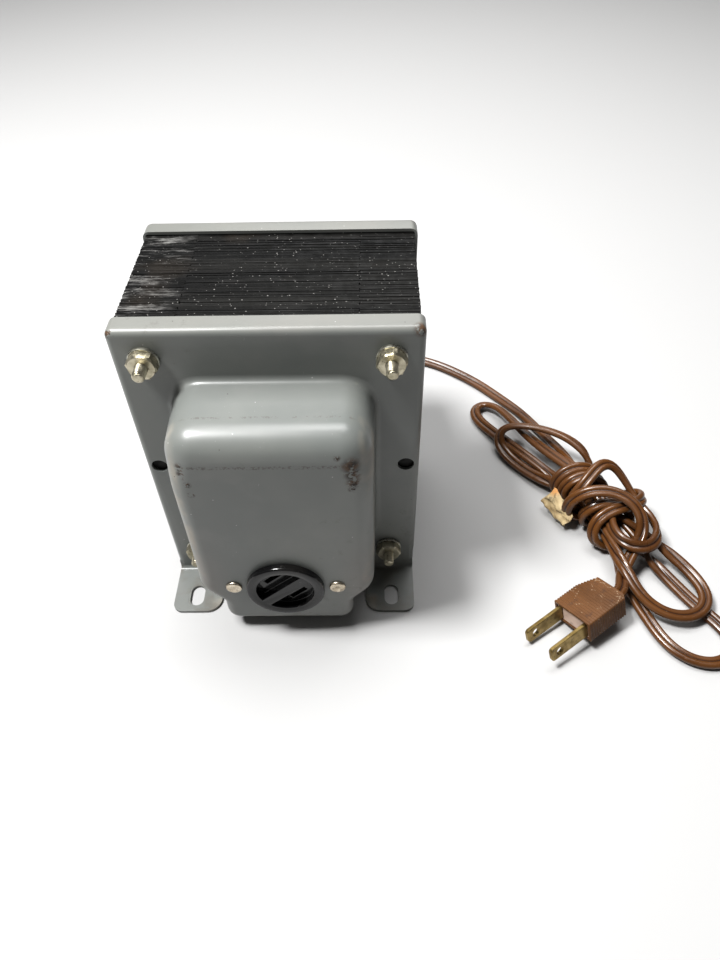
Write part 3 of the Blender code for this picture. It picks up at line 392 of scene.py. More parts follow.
# From here on each point is (along the bundle, to its right, height).
BUNDLE = [
    # along the right side, through the knot and out to the far loop
    (-9.9, 8.2, 1.7), (4.4, 11.2, 1.8), (17.4, 14.6, 2.0), (33, 14.5, 3.0), (48.7, 12.9, 6.5),
    (57, 12.3, 8.5), (66, 9.5, 10.0), (78, 7.6, 10.4), (92, 7.4, 9.6), (104, 8.0, 8.0),
    (112, 8.4, 6.0), (118, 8.8, 4.6), (132.4, 10.5, 2.6), (141.8, 11.4, 2.2), (150.3, 13.0, 1.7),
    (157, 15.2, 1.6), (164, 15.4, 1.6), (169, 10.5, 1.6), (170, 4.5, 1.6), (168.4, -1.0, 1.6),
    (165, -5.8, 1.6), (160, -9.6, 1.6), (153, -11.0, 1.6), (145.4, -10.5, 1.7), (138.7, -8.8, 1.8),
    (130, -7.6, 2.0), (121, -5.6, 2.6), (112, -2.4, 4.2), (104, 0.6, 4.8), (90, 1.0, 4.8),
    (76, 0.9, 4.8),
    # back through the knot to the first fold
    (68, 0.6, 5.2), (61.3, -0.1, 5.6), (51.5, -2.0, 5.8), (42.5, -4.3, 5.4), (34, -5.4, 4.6),
    (24, -7.0, 3.4), (14, -8.4, 2.2), (6, -8.0, 1.7), (1.6, -4.4, 1.7), (1.6, 0.8, 2.4),
    (6, 4.6, 3.6), (16, 5.2, 5.6), (26, 4.0, 7.2), (35, 3.0, 8.2), (45.6, 3.4, 9.2),
    (55.5, 4.4, 10.4), (64.4, 5.8, 12.2), (76, 6.4, 13.2), (90, 6.8, 12.8), (101, 8.6, 11.8),
    # out to the near loop
    (109.5, 12.4, 9.4), (117.1, 15.6, 7.4), (126.1, 18.0, 6.0), (134.6, 19.5, 5.2),
    (142.6, 19.4, 4.6), (148.2, 16.0, 4.4), (150.8, 9.6, 4.4), (149.4, 2.0, 4.6),
    (144.6, -4.2, 5.0), (138.2, -8.2, 6.0), (130.2, -9.2, 7.6), (121.3, -7.6, 9.6),
    (114.1, -5.8, 10.4), (106.4, -3.0, 9.6), (98, -0.4, 8.4), (84, 0.2, 7.8), (72, -0.6, 7.6),
    # the second fold, which stands up and arches over the bundle
    (64, -4.2, 4.4), (57.3, -6.2, 3.0), (49.7, -7.8, 2.6), (42, -9.6, 2.4), (34.8, -10.2, 3.4),
    (29.6, -10.0, 5.6), (27.4, -8.6, 8.8), (29.2, -5.2, 12.0), (34.9, 0.4, 14.2), (42.9, 7.4, 15.4),
    (51.8, 13.8, 15.6), (60.3, 17.6, 14.8), (67.5, 18.8, 12.2),
    # first turn round the bundle
    (71.5, 18.2, 7.6), (73.6, 14.4, 3.0), (74.4, 7.0, 1.6), (74.0, -0.4, 1.6), (71.4, -6.0, 3.6),
    (69.6, -7.6, 7.4), (68.8, -5.6, 11.8), (69.2, -1.0, 16.0), (71.0, 5.0, 18.6),
    (74.0, 11.2, 18.4), (76.4, 16.0, 14.8), (77.8, 17.6, 9.6),
    # second turn
    (78.8, 14.8, 3.4), (79.2, 7.6, 1.6), (78.6, 0.0, 1.6), (76.4, -5.8, 3.6), (74.8, -7.6, 7.6),
    (74.2, -5.2, 12.2), (74.8, -0.4, 16.4), (77.0, 5.6, 19.0), (80.0, 11.6, 18.0),
    (82.6, 16.2, 13.6), (83.8, 16.6, 8.0), (84.4, 13.4, 3.2), (84.8, 7.0, 1.6), (84.2, -0.6, 1.6),
    # the loop that stands on the knot's right shoulder
    (83.4, -6.4, 4.0), (83.2, -8.6, 8.6), (83.6, -6.6, 13.6), (84.0, -1.8, 18.6), (82.4, 3.0, 22.0),
    (79.0, 8.6, 24.4), (76.8, 13.6, 25.4), (78.0, 17.4, 23.6), (82.0, 18.6, 20.4),
    (88.0, 18.4, 17.0), (96.0, 18.8, 14.6), (103.8, 19.6, 12.6), (110.0, 19.8, 11.8),
    # the low loop across its front
    (116.2, 16.4, 12.0), (120.4, 10.6, 12.8), (120.8, 3.8, 13.4), (117.2, -1.6, 13.8),
    (111.0, -4.0, 14.0), (104.6, -3.0, 13.8), (98.6, 0.6, 13.2), (94.0, 6.0, 13.0),
    (91.8, 12.4, 11.0), (91.4, 15.6, 6.4), (91.0, 12.6, 2.4), (90.8, 6.0, 1.6), (90.4, -1.0, 1.6),
    # third turn
    (90.2, -6.6, 3.8), (90.2, -9.0, 8.2), (90.2, -5.6, 13.0), (92.0, 1.0, 16.8), (95.4, 8.0, 17.4),
    (99.0, 13.8, 14.2), (101.4, 16.0, 8.8), (103.8, 13.2, 3.6), (106.4, 6.0, 1.6),
    (107.0, -1.4, 1.6),
    # fourth turn
    (104.8, -8.0, 3.2), (101.0, -10.4, 7.4), (98.0, -8.4, 11.8), (96.8, -3.6, 15.8),
    (98.4, 2.8, 18.8), (101.0, 9.4, 18.8), (101.6, 15.6, 16.6),
    # small curl on the right
    (100.2, 21.0, 14.6), (97.4, 24.8, 13.8), (93.4, 25.4, 13.4), (90.2, 22.2, 12.6),
    (88.8, 18.6, 8.6), (87.8, 14.2, 3.6), (87.4, 7.0, 1.6), (86.6, -1.0, 1.6),
    # the high arch over everything
    (85.6, -8.0, 3.2), (84.6, -12.0, 8.0), (84.4, -11.0, 14.4), (85.4, -7.0, 19.2),
    (87.6, -1.6, 22.4), (91.6, 4.4, 23.8), (96.4, 9.0, 23.6), (102.4, 11.6, 22.4),
    (108.2, 11.8, 20.4), (113.4, 9.8, 16.8), (115.6, 5.4, 12.0), (115.4, 0.8, 8.6),
    # out to the plug
    (118.0, -3.6, 6.6), (121.4, -7.6, 6.2),
]

TAIL = [(130.6, -46.4, 7.4), (131.7, -49.6, 9.4), (130.0, -52.6, 10.5), (127.0, -54.7, 10.4)]


def bundle_point(along, right, height):
    flat = AXIS_START + AXIS_ALONG * along + AXIS_RIGHT * right
    return Vector((flat.x, flat.y, height))


def smooth_route(route, per_span):
    """Points read from a smooth curve through the route's own points."""
    ends = [2 * route[0] - route[1]] + route + [2 * route[-1] - route[-2]]
    found = []
    for i in range(1, len(ends) - 2):
        handle_out = ends[i] + (ends[i + 1] - ends[i - 1]) / 6
        handle_in = ends[i + 1] - (ends[i + 2] - ends[i]) / 6
        found += interpolate_bezier(ends[i], handle_out, handle_in, ends[i + 1], per_span + 1)[:-1]
    return found + [route[-1]]


def resample(points, step):
    """Evenly spaced points along the line through the given ones."""
    lengths = np.linalg.norm(np.diff(points, axis=0), axis=1)
    run = np.concatenate([[0.0], np.cumsum(lengths)])
    count = int(round(run[-1] / step))
    places = np.linspace(0.0, run[-1], count + 1)
    return np.stack([np.interp(places, run, points[:, k]) for k in range(3)], axis=1)


def soften(values, times):
    """Neighbour averaging that keeps both ends."""
    for _ in range(times):
        values[1:-1] = 0.25 * values[:-2] + 0.5 * values[1:-1] + 0.25 * values[2:]
    return values


def settle(points, rounds=160):
    """Pushes strands towards STRAND_SPACING, eases bends and keeps all of it over the floor.

    It stops after its rounds, and some strands still overlap and some bends stay tight by then.
    """
    home = points.copy()
    index = np.arange(len(points))
    apart = np.abs(index[:, None] - index[None, :]) > 5
    for _ in range(rounds):
        delta = points[:, None, :] - points[None, :, :]
        distance = np.linalg.norm(delta, axis=2)
        close = apart & (distance < STRAND_SPACING)
        distance = np.maximum(distance, 0.2)
        push = np.where(close, (STRAND_SPACING - distance) / distance, 0.0)[:, :, None] * delta
        move = 0.28 * push.sum(axis=1)
        length = np.maximum(np.linalg.norm(move, axis=1, keepdims=True), 1e-9)
        points = points + move * np.minimum(1.0, MOST_PUSH / length)
        bend = np.zeros_like(points)
        bend[1:-1] = (points[:-2] + points[2:]) / 2 - points[1:-1]
        wide = np.zeros_like(points)
        wide[4:-4] = (points[:-8] + points[8:]) / 2 - points[4:-4]
        sagitta = np.maximum(np.linalg.norm(wide, axis=1, keepdims=True), 1e-9)
        wide *= np.maximum(0.0, 1 - MOST_SAGITTA / sagitta)
        points = points + 0.34 * bend + 0.8 * wide + 0.02 * (home - points)
        points[:, 2] = np.maximum(points[:, 2], CORD_THICK / 2 + 0.15)
        points[:HELD_START] = home[:HELD_START]
        points[-HELD_END:] = home[-HELD_END:]
    return points


def cord_line():
    route = [Vector(point) for point in LEAD]
    route += [bundle_point(*point) for point in BUNDLE]
    route += [Vector(point) for point in TAIL]
    dense = np.array([tuple(point) for point in smooth_route(route, 6)])
    settled = settle(resample(dense, ROUTE_STEP))
    return resample(soften(settled, 6), CORD_STEP)


def knot_share(line):
    """1 where the cord is wound into the knot and 0 where it lies free, and its place across the bundle."""
    offset = line[:, :2] - np.array(AXIS_START)
    along = offset @ np.array(AXIS_ALONG)
    right = offset @ np.array(AXIS_RIGHT)
    share = np.clip((along - KNOT_START) / 8.0, 0, 1) * np.clip((KNOT_END - along) / 8.0, 0, 1)
    return share * np.clip((line[:, 0] - 90.0) / 10.0, 0, 1), right


def cord_frames(line):
    """Tangent and flat direction at every point: flat on the floor, or against the bundle in the knot."""
    tangent = np.gradient(line, axis=0)
    tangent /= np.linalg.norm(tangent, axis=1, keepdims=True)
    knot, right = knot_share(line)
    away = np.outer(right - KNOT_RIGHT, np.array(AXIS_RIGHT))
    out = np.column_stack([away, line[:, 2] - KNOT_HEIGHT])
    out /= np.maximum(np.linalg.norm(out, axis=1, keepdims=True), 1e-6)
    thin = (1 - knot[:, None]) * np.array([0.0, 0.0, 1.0]) + knot[:, None] * out
    run = np.arange(len(line)) * CORD_STEP
    roll = 0.35 * np.sin(run / 47.0 + 0.6) + 0.25 * np.sin(run / 23.0 + 1.9)
    free = np.clip((run - 60.0) / 60.0, 0, 1) * np.clip((run[-1] - run) / 30.0, 0, 1)
    flats = []
    for i in range(len(line)):
        flat = np.cross(thin[i], tangent[i])
        size = np.linalg.norm(flat)
        if flats and (size < 0.2 or np.dot(flat, flats[-1]) < 0):
            flat = -flat if size >= 0.2 else flats[-1]
        flats.append(flat / max(np.linalg.norm(flat), 1e-6))
    flats = soften(np.array(flats), 14)
    flats -= tangent * np.sum(flats * tangent, axis=1, keepdims=True)
    flats /= np.linalg.norm(flats, axis=1, keepdims=True)
    thins = np.cross(tangent, flats)
    angle = (roll * free)[:, None]
    return tangent, flats * np.cos(angle) + thins * np.sin(angle)


def cord_section():
    """Outline of two round lobes joined by a thin web, and how deep in the groove each point lies, which
    weights the shade painted there.
    """
    radius = CORD_THICK / 2
    centre = CORD_WIDTH / 2 - radius
    reach = math.radians(146)
    points = []
    for side, steps, rib in ((1, 12, 0.0), (-1, 40, 0.055)):
        for i in range(steps + 1):
            angle = -reach + 2 * reach * i / steps
            own = radius - rib * (i % 4 in (1, 2)) * (3 < i < steps - 3)
            groove = max(0.0, (abs(angle) - math.radians(132)) / math.radians(14))
            points.append((side * (centre + own * math.cos(angle)), side * own * math.sin(angle), groove))
    return points


def make_cord(finish):
    """The cord's mesh, its centre line and its flat direction along that line."""
    line = cord_line()
    tangent, flat = cord_frames(line)
    lobe = CORD_WIDTH / 2 - CORD_THICK / 2
    clearance = CORD_THICK / 2 + lobe * np.abs(flat[:, 2]) + 0.1
    line[:, 2] = np.maximum(line[:, 2], clearance)
    soften(line, 3)
    line[:, 2] = np.maximum(line[:, 2], clearance)
    thin = np.cross(tangent, flat)
    bm = bmesh.new()
    # Per-vertex weight of the shade that the cord's material paints into the crease between the wires.
    groove_layer = bm.verts.layers.float.new("groove")
    section = cord_section()
    loops = []
    for i in range(len(line)):
        loop = []
        for a, b, groove in section:
            vert = bm.verts.new(Vector(line[i] + flat[i] * a + thin[i] * b))
            vert[groove_layer] = groove
            loop.append(vert)
        loops.append(loop)
    for low, high in zip(loops, loops[1:]):
        for i in range(len(low)):
            j = (i + 1) % len(low)
            bm.faces.new((low[i], low[j], high[j], high[i]))
    bm.faces.new(loops[0][::-1])
    bm.faces.new(loops[-1])
    cord = object_of("flat_cord", mesh_of("flat_cord", bm), finish)
    smooth(cord, 60)
    finish_piece(cord, UNIT, "brown_cord_vinyl", "cord_lead", "cord_hank", "cord_tail")
    return cord, line, tangent, flat


# ---------------------------------------------------------------- end bells


def edge_radius(z):
    """Radius of the hood's outer edge: large along the top, smaller down the sides and round the lobe."""
    top_start = HOOD_TOP - 2.4 * TOP_EDGE_RADIUS
    top = min(max((z - top_start) / (1.6 * TOP_EDGE_RADIUS), 0.0), 1.0)
    lobe = min(max((HOOD_SHOULDER + LEG / 2 - z) / LEG, 0.0), 1.0)
    radius = SIDE_EDGE_RADIUS
    radius += (TOP_EDGE_RADIUS - SIDE_EDGE_RADIUS) * top * top * (3 - 2 * top)
    radius += (LOBE_EDGE_RADIUS - SIDE_EDGE_RADIUS) * lobe * lobe * (3 - 2 * lobe)
    return radius


def hood_rings(inset, flare, steps=12):
    """Rings from the plate out to the face; inset is 0 outside and the sheet thickness inside."""
    half = [
        (LOBE_HALF_WIDTH, LOBE_BOTTOM, 6.0),
        (LOBE_HALF_WIDTH, LOBE_SHOULDER, 5.0),
        (HOOD_HALF_WIDTH, HOOD_SHOULDER, 10.0),
        (HOOD_HALF_WIDTH, HOOD_TOP, 11.0),
    ]
    outline = rounded_outline(mirrored(half), 10, spacing=4.0)
    if flare:
        profile = [(-SHEET / 2, -HOOD_FLARE, None)]
        for angle in quarter(6):
            rise = HOOD_FLARE * (1 - math.cos(angle))
            profile.append((rise, HOOD_FLARE * (math.sin(angle) - 1), None))
    else:
        profile = [(-SHEET - 2.0, inset, None), (HOOD_FLARE, inset, None)]
    profile += [(None, inset + HOOD_DRAFT, angle) for angle in quarter(steps)]
    rings = []
    for height, inward, angle in profile:
        ring = []
        for point, normal in outline:
            rise = height
            move = inward
            if angle is not None:
                radius = edge_radius(point.y)
                rise = HOOD_DEPTH - radius + (radius - inset) * math.sin(angle)
                move = inward + (radius - inset) * (1 - math.cos(angle))
            spot = point - normal * move
            ring.append(Vector((spot.x, -PLATE_FACE - rise, spot.y)))
        rings.append(ring)
    return rings


def tray_rings(corners, bend, front, back, steps=6):
    """Front face, its bend and the straight side behind it, round one outline."""
    outline = rounded_outline(corners, 6)
    rings = []
    for angle in quarter(steps):
        inward = bend * (1 - math.sin(angle))
        depth = front + bend * (1 - math.cos(angle))
        moved = [(point - normal * inward) for point, normal in outline]
        rings.append([Vector((point.x, depth, point.y)) for point in moved])
    rings.append([Vector((point.x, back, point.y)) for point, _ in outline])
    return rings


def mirrored(half):
    return half + [(-x, z, radius) for x, z, radius in reversed(half)]


def foot_parts(name, side):
    """Tab with rounded free corners, its bend and the slot that goes through it."""
    skin = 0.1
    bend_start = -PLATE_FACE - FOOT_BEND
    corners = [
        (FOOT_INNER, -PLATE_FACE - FOOT_LENGTH, 6.0),
        (FOOT_OUTER, -PLATE_FACE - FOOT_LENGTH, 3.8),
        (FOOT_OUTER, bend_start + GAP, skin),
        (FOOT_INNER, bend_start + GAP, skin),
    ]
    outline = [(side * point.x, point.y) for point, _ in rounded_outline(corners, 8)]
    tab = prism(f"{name}_tab", outline, 0.0, SHEET, plane="XY")
    rise = FOOT_BEND + SHEET
    steps = 8
    profile = []
    for angle in quarter(steps):
        profile.append((bend_start + rise * math.sin(angle), rise - rise * math.cos(angle)))
    profile += [
        (-PLATE_FACE + SHEET - skin, rise),
        (-PLATE_FACE + SHEET - skin, 2 * rise),
        (-PLATE_FACE + skin, 2 * rise),
        (-PLATE_FACE + skin, rise),
    ]
    for angle in reversed(quarter(steps)):
        forward = bend_start + FOOT_BEND * math.sin(angle)
        profile.append((forward, rise - FOOT_BEND * math.cos(angle)))
    ends = sorted((side * (FOOT_INNER + skin / 2), side * (FOOT_OUTER - skin / 2)))
    bend = prism(f"{name}_bend", profile, ends[0], ends[1], plane="YZ")
    opening = slot_outline(SLOT_WIDTH, SLOT_LENGTH, (side * SLOT_X, -SLOT_Y))
    slot = prism(f"{name}_slot", opening, -2.0, SHEET + 4.0, plane="XY")
    return tab, bend, slot


def make_bell(name, face_holes, finish):
    """Tray, hood and feet in one piece of sheet, facing the front."""
    half = [(BELL_HALF_WIDTH, -2 * BEND, CASE_CORNER), (BELL_HALF_WIDTH, BELL_TOP, CASE_CORNER)]
    tray = tray_rings(mirrored(half), BEND, -PLATE_FACE, -PLATE_FACE + SKIRT_DEPTH)
    bell = loft(name, tray, finish)
    wide = BELL_HALF_WIDTH + 2 * BEND
    inner = BELL_HALF_WIDTH - SHEET
    half = [
        (wide, -4 * BEND, 0.6),
        (wide, SKIRT_BOTTOM, 0.6),
        (inner, SKIRT_BOTTOM, 0.6),
        (inner, BELL_TOP - SHEET, 0.6),
    ]
    front = -PLATE_FACE + SHEET
    hollow_tray = loft("tray_inside", tray_rings(mirrored(half), 0.6, front, front + SKIRT_DEPTH))
    under = rectangle(-2 * wide, -20.0, 2 * wide, PLATE_BOTTOM)
    cut(bell, prism("below_plate", under, -2 * PLATE_FACE, 0.0))
    unite(bell, loft("hood", hood_rings(0.0, True)))
    slots = []
    for side, word in ((-1, "left"), (1, "right")):
        tab, bend, slot = foot_parts(word, side)
        unite(bell, tab, bend)
        slots.append(slot)
    cut(bell, hollow_tray, loft("hood_inside", hood_rings(SHEET, False)), *slots)
    x, z, radius = MID_HOLE
    holes = [(side * x, z, radius, PLATE_FACE) for side in (-1, 1)]
    for side in (-1, 1):
        for level in (-1, 1):
            holes.append((side * BOLT_X, CORE_MIDDLE + level * BOLT_RISE, BOLT_HOLE_RADIUS, PLATE_FACE))
    holes += [(*hole, HOOD_FACE) for hole in face_holes]
    for x, z, radius, face in holes:
        segments = 72 if radius > 4.0 else 28
        cut(bell, prism("hole", circle(radius, segments, (x, z)), -face - 2.0, -face + 2.0))
    smooth(bell, 32)
    return bell


def make_bells(front_enamel, rear_enamel):
    outlet = [(0.0, OUTLET_Z, 13.0)] + [(side * RIVET_X, OUTLET_Z, 1.8) for side in (-1, 1)]
    front = make_bell("front_bell", outlet, front_enamel)
    finish_piece(front, UNIT, "grey_enamel", "front_end_bell")
    rear = make_bell("rear_bell", [(0.0, BUSHING_Z, 5.5)], rear_enamel)
    place(rear, Matrix.Rotation(math.pi, 4, "Z"))
    finish_piece(rear, UNIT, "grey_enamel", "rear_end_bell")


# ---------------------------------------------------------------- core


def sheet_mesh(bm, outline, holes, turn, shift, low, high):
    """One stamped sheet with its bolt holes; turn is 1 or -1 and flips it left to right."""
    edges = []
    for loop in [outline] + [circle(BOLT_HOLE_RADIUS, 12, hole) for hole in holes]:
        verts = [bm.verts.new((turn * x + shift[0], low, z + shift[1])) for x, z in loop]
        edges += [bm.edges.new((a, b)) for a, b in zip(verts, verts[1:] + verts[:1])]
    filled = bmesh.ops.triangle_fill(bm, edges=edges, use_beauty=True)
    faces = [item for item in filled["geom"] if isinstance(item, bmesh.types.BMFace)]
    raised = bmesh.ops.extrude_face_region(bm, geom=faces, use_keep_orig=True)
    verts = [item for item in raised["geom"] if isinstance(item, bmesh.types.BMVert)]
    bmesh.ops.translate(bm, vec=(0.0, high - low, 0.0), verts=verts)


def make_core(finish):
    """Single E and I sheets in pairs, every other pair turned end for end."""
    joint = 1.5 * LEG
    gap = 0.1
    top = CORE_BOTTOM + CORE_HEIGHT
    e_sheet = [
        (-CORE_HALF_WIDTH, CORE_BOTTOM),
        (joint - gap, CORE_BOTTOM),
        (joint - gap, CORE_BOTTOM + LEG),
        (-joint, CORE_BOTTOM + LEG),
        (-joint, CORE_BOTTOM + 2 * LEG),
        (joint - gap, CORE_BOTTOM + 2 * LEG),
        (joint - gap, top - 2 * LEG),
        (-joint, top - 2 * LEG),
        (-joint, top - LEG),
        (joint - gap, top - LEG),
        (joint - gap, top),
        (-CORE_HALF_WIDTH, top),
    ]
    i_sheet = rectangle(joint + gap, CORE_BOTTOM, CORE_HALF_WIDTH, top)
    holes = [CORE_MIDDLE + level * BOLT_RISE for level in (-1, 1)]
    pitch = 0.62
    count = int(STACK / pitch)
    pitch = STACK / count
    rng = np.random.default_rng(5)
    bm = bmesh.new()
    for number in range(count):
        turn = 1 if (number // 3) % 2 else -1
        low = -STACK / 2 + number * pitch
        for outline, x in ((e_sheet, -BOLT_X), (i_sheet, BOLT_X)):
            shift = (rng.uniform(-0.14, 0.14), rng.uniform(-0.12, 0.12))
            sheet_mesh(bm, outline, [(x, z) for z in holes], turn, shift, low, low + 0.82 * pitch)
    bmesh.ops.recalc_face_normals(bm, faces=bm.faces)
    bmesh.ops.scale(bm, vec=(MM, MM, MM), verts=bm.verts)
    mesh = bpy.data.meshes.new("lamination_sheets")
    bm.to_mesh(mesh)
    bm.free()
    core = object_of("lamination_sheets", mesh, finish)
    nodes = [f"{kind}_laminations_{packet}" for kind in ("e", "i") for packet in range(1, 5)]
    finish_piece(core, UNIT, "varnished_laminations", *nodes)


# ---------------------------------------------------------------- fasteners


def hex_ring(flats, limit, forward, start, segments=60):
    """Hexagon cut back to a round limit, which makes the chamfer."""
    ring = []
    for i in range(segments):
        angle = math.tau * i / segments
        within = (angle - start + math.pi / 6) % (math.pi / 3) - math.pi / 6
        radius = min(flats / 2 / math.cos(within), limit)
        ring.append(Vector((radius * math.cos(angle), -forward, radius * math.sin(angle))))
    return ring


def hex_profile(flats, low, high, start):
    """Rings of a hexagon chamfered at both faces."""
    corner = flats / math.sqrt(3)
    small = flats / 2 * 0.97
    rise = (corner - small) * 0.55
    return [
        hex_ring(flats, small, low, start),
        hex_ring(flats, corner, low + rise, start),
        hex_ring(flats, corner, high - rise, start),
        hex_ring(flats, small, high, start),
    ]


def round_ring(radius, forward, segments=60):
    return [Vector((x, -forward, z)) for x, z in circle(radius, segments)]


def threaded_bolt(name, head, tip, start, finish):
    """Hexagon head behind, shank through the core and a cut thread at the front."""
    segments = 60
    rings = hex_profile(HEAD_FLATS, head - HEAD_THICK, head, start)
    rings.append(round_ring(BOLT_RADIUS, head + 0.05))
    depth = 0.36
    thread_start = PLATE_FACE - 3.0
    rings.append(round_ring(BOLT_RADIUS, thread_start - 0.3))
    steps = int((tip - thread_start) / 0.13)
    for step in range(steps + 1):
        forward = thread_start + (tip - thread_start) * step / steps
        fade = min(1.0, (tip - forward) / 0.9)
        ring = []
        for i in range(segments):
            angle = math.tau * i / segments
            wave = abs(((forward / BOLT_PITCH - i / segments) % 1.0) * 2 - 1)
            radius = BOLT_RADIUS - depth * wave - 0.55 * (1 - fade) ** 2
            ring.append(Vector((radius * math.cos(angle), -forward, radius * math.sin(angle))))
        rings.append(ring)
    rings.append(round_ring(BOLT_RADIUS - 1.1, tip + 0.02))
    bolt = loft(name, rings, finish)
    smooth(bolt, 38)
    return bolt


def hoop(name, outer_rings, bore, finish):
    """Ring-shaped piece: its outer rings in order, then the bore back to the first."""
    low = outer_rings[0][0].y
    high = outer_rings[-1][0].y
    rings = outer_rings + [round_ring(bore, -high), round_ring(bore, -low)]
    made = loft(name, rings, finish, closed=True)
    smooth(made, 30)
    return made


def make_fasteners(zinc, bright):
    washer_outer = PLATE_FACE + GAP + WASHER_THICK
    seat = washer_outer + 0.05
    number = 0
    for level in (1, -1):
        for side in (-1, 1):
            number += 1
            turn = math.radians((17, 41, 8, 29)[number - 1])
            spot = at(side * BOLT_X, 0.0, CORE_MIDDLE + level * BOLT_RISE)
            tip = PLATE_FACE + BOLT_PROUD
            bolt = threaded_bolt(f"bolt_{number}", -washer_outer - 0.05, tip, turn, zinc)
            place(bolt, spot)
            finish_piece(bolt, UNIT, "zinc_plate", f"through_bolt_{number}")
            rings = hex_profile(NUT_FLATS, seat, seat + NUT_THICK, turn)
            nut = hoop(f"nut_{number}", rings, BOLT_RADIUS + 0.05, zinc)
            place(nut, spot)
            finish_piece(nut, UNIT, "zinc_plate", f"hex_nut_{number}")
            for word, facing in (("front", 1), ("rear", -1)):
                low, high = sorted((facing * (PLATE_FACE + 0.1), facing * washer_outer))
                rings = [
                    round_ring(WASHER_RADIUS - 0.25, low),
                    round_ring(WASHER_RADIUS, low + 0.25),
                    round_ring(WASHER_RADIUS, high - 0.25),
                    round_ring(WASHER_RADIUS - 0.25, high),
                ]
                washer = hoop(f"{word}_washer_ring_{number}", rings, BOLT_RADIUS + 0.25, bright)
                place(washer, spot)
                finish_piece(washer, UNIT, "bright_washer", f"{word}_washer_{number}")


# ---------------------------------------------------------------- receptacle


def half_moon(radius, bar, side, segments=40):
    """Outline of the part of a disc beyond the bar."""
    start = math.asin(bar / radius)
    points = []
    for i in range(segments + 1):
        angle = start + (math.pi - 2 * start) * i / segments
        points.append((radius * math.cos(angle), side * radius * math.sin(angle)))
    return points


def make_receptacle(bakelite, nickel):
    lip = 0.9
    profile = [(OUTLET_BODY_RADIUS, -OUTLET_BACK), (OUTLET_BODY_RADIUS, 0.1), (OUTLET_FLANGE_RADIUS, 0.1)]
    for angle in quarter(6):
        radius = OUTLET_FLANGE_RADIUS - lip + lip * math.cos(angle)
        profile.append((radius, OUTLET_PROUD - lip + lip * math.sin(angle)))
    profile += [(OUTLET_FLANGE_RADIUS - 2.6, OUTLET_PROUD), (RECESS_RADIUS + 0.5, OUTLET_PROUD - 0.25)]
    body = loft("outlet_face", turned_rings(profile, 96), bakelite)
    for side in (-1, 1):
        outline = half_moon(RECESS_RADIUS, BAR_HALF_WIDTH, side)
        cut(body, prism("recess", outline, -OUTLET_PROUD - 2.0, -OUTLET_PROUD + RECESS_DEPTH))
        middle = side * BLADE_SPACING / 2
        opening = rectangle(-4.0, middle - 0.95, 4.0, middle + 0.95)
        cut(body, prism("slot", opening, -OUTLET_PROUD - 2.0, 6.0))
    inner = OUTLET_BODY_RADIUS - 1.5
    cut(body, loft("pocket", turned_rings([(inner, -OUTLET_BACK - 2.0), (inner, -3.4)], 48)))
    round_edges(body, 0.22, segments=2, degrees=50)
    smooth(body, 40)
    place(body, at(0.0, -HOOD_FACE, OUTLET_Z) @ Matrix.Rotation(-OUTLET_TILT, 4, "Y"))
    finish_piece(body, UNIT, "black_bakelite", "receptacle_body")
    for side, word in ((-1, "left"), (1, "right")):
        profile = [(1.7, -3.6), (2.3, -2.7), (1.5, -2.7), (1.5, 0.1), (2.85, 0.1), (3.0, 0.25), (2.97, 0.5)]
        for angle in quarter(5):
            profile.append((1.6 + 1.35 * math.cos(angle), 0.55 + 0.6 * math.sin(angle)))
        profile += [(1.25, 1.08), (0.8, 0.88), (0.25, 0.8)]
        rivet = loft(f"rivet_{word}", turned_rings(profile, 40), nickel)
        smooth(rivet, 45)
        place(rivet, at(side * RIVET_X, -HOOD_FACE, OUTLET_Z))
        finish_piece(rivet, UNIT, "nickel_rivet", f"receptacle_rivet_{word}")


def make_bushing(nylon, line, tangent, flat):
    """Grommet in the rear hood with a notched sleeve that tapers along the start of the cord."""
    count = 48
    profile = [(5.2, -4.5), (5.2, 0.1), (7.4, 0.1)]
    for angle in quarter(5):
        profile.append((6.4 + 1.0 * math.cos(angle), 1.8 + 1.0 * math.sin(angle)))
    rings = []
    for radius, outward in profile:
        rings.append([Vector((x, HOOD_FACE + outward, BUSHING_Z + z)) for x, z in circle(radius, count)])
    first = int(np.argmax(line[:, 1] > HOOD_FACE + 2.9))
    steps = int(SLEEVE_LENGTH / CORD_STEP)
    for step in range(steps * 4 + 1):
        place = first + step / 4
        low = int(place)
        centre = Vector(line[low]).lerp(Vector(line[low + 1]), place - low)
        across = Vector(flat[low]) * math.copysign(1.0, flat[low][0])
        up = across.cross(Vector(tangent[low]))
        share = step / (steps * 4)
        notch = 0.55 if step % 8 in (5, 6) and 0.12 < share < 0.9 else 0.0
        wide = 5.6 - 2.2 * share - notch
        high = 4.6 - 2.4 * share - notch
        rings.append([centre + across * a + up * b for a, b in oval(wide, high, count)])
    bushing = loft("bushing", rings, nylon)
    smooth(bushing, 40)
    finish_piece(bushing, UNIT, "black_nylon", "cord_bushing")


def oval(wide, high, segments):
    return [(wide * x, high * z) for x, z in circle(1.0, segments)]


# ---------------------------------------------------------------- plug


def plug_matrix():
    turn = Matrix.Rotation(PLUG_TURN[2], 4, "Z")
    turn = turn @ Matrix.Rotation(PLUG_TURN[1], 4, "Y") @ Matrix.Rotation(PLUG_TURN[0], 4, "X")
    return Matrix.Translation(PLUG_ORIGIN * MM) @ turn


def plug_sides(x, inset=0.0):
    """Left and right half widths of the shell at a distance x behind its front face."""
    half = PLUG_WIDTH / 2
    taper = min(max((-x - PLUG_TAPER_START) / (PLUG_LENGTH - PLUG_TAPER_START), 0.0), 1.0)
    left = half - (half - PLUG_REAR_HALF) * taper ** 1.25
    chamfer = min(max((-x - (PLUG_LENGTH - 1.8)) / 1.8, 0.0), 1.0)
    right = half - 2.4 * chamfer ** 1.3
    return left - inset, right - inset


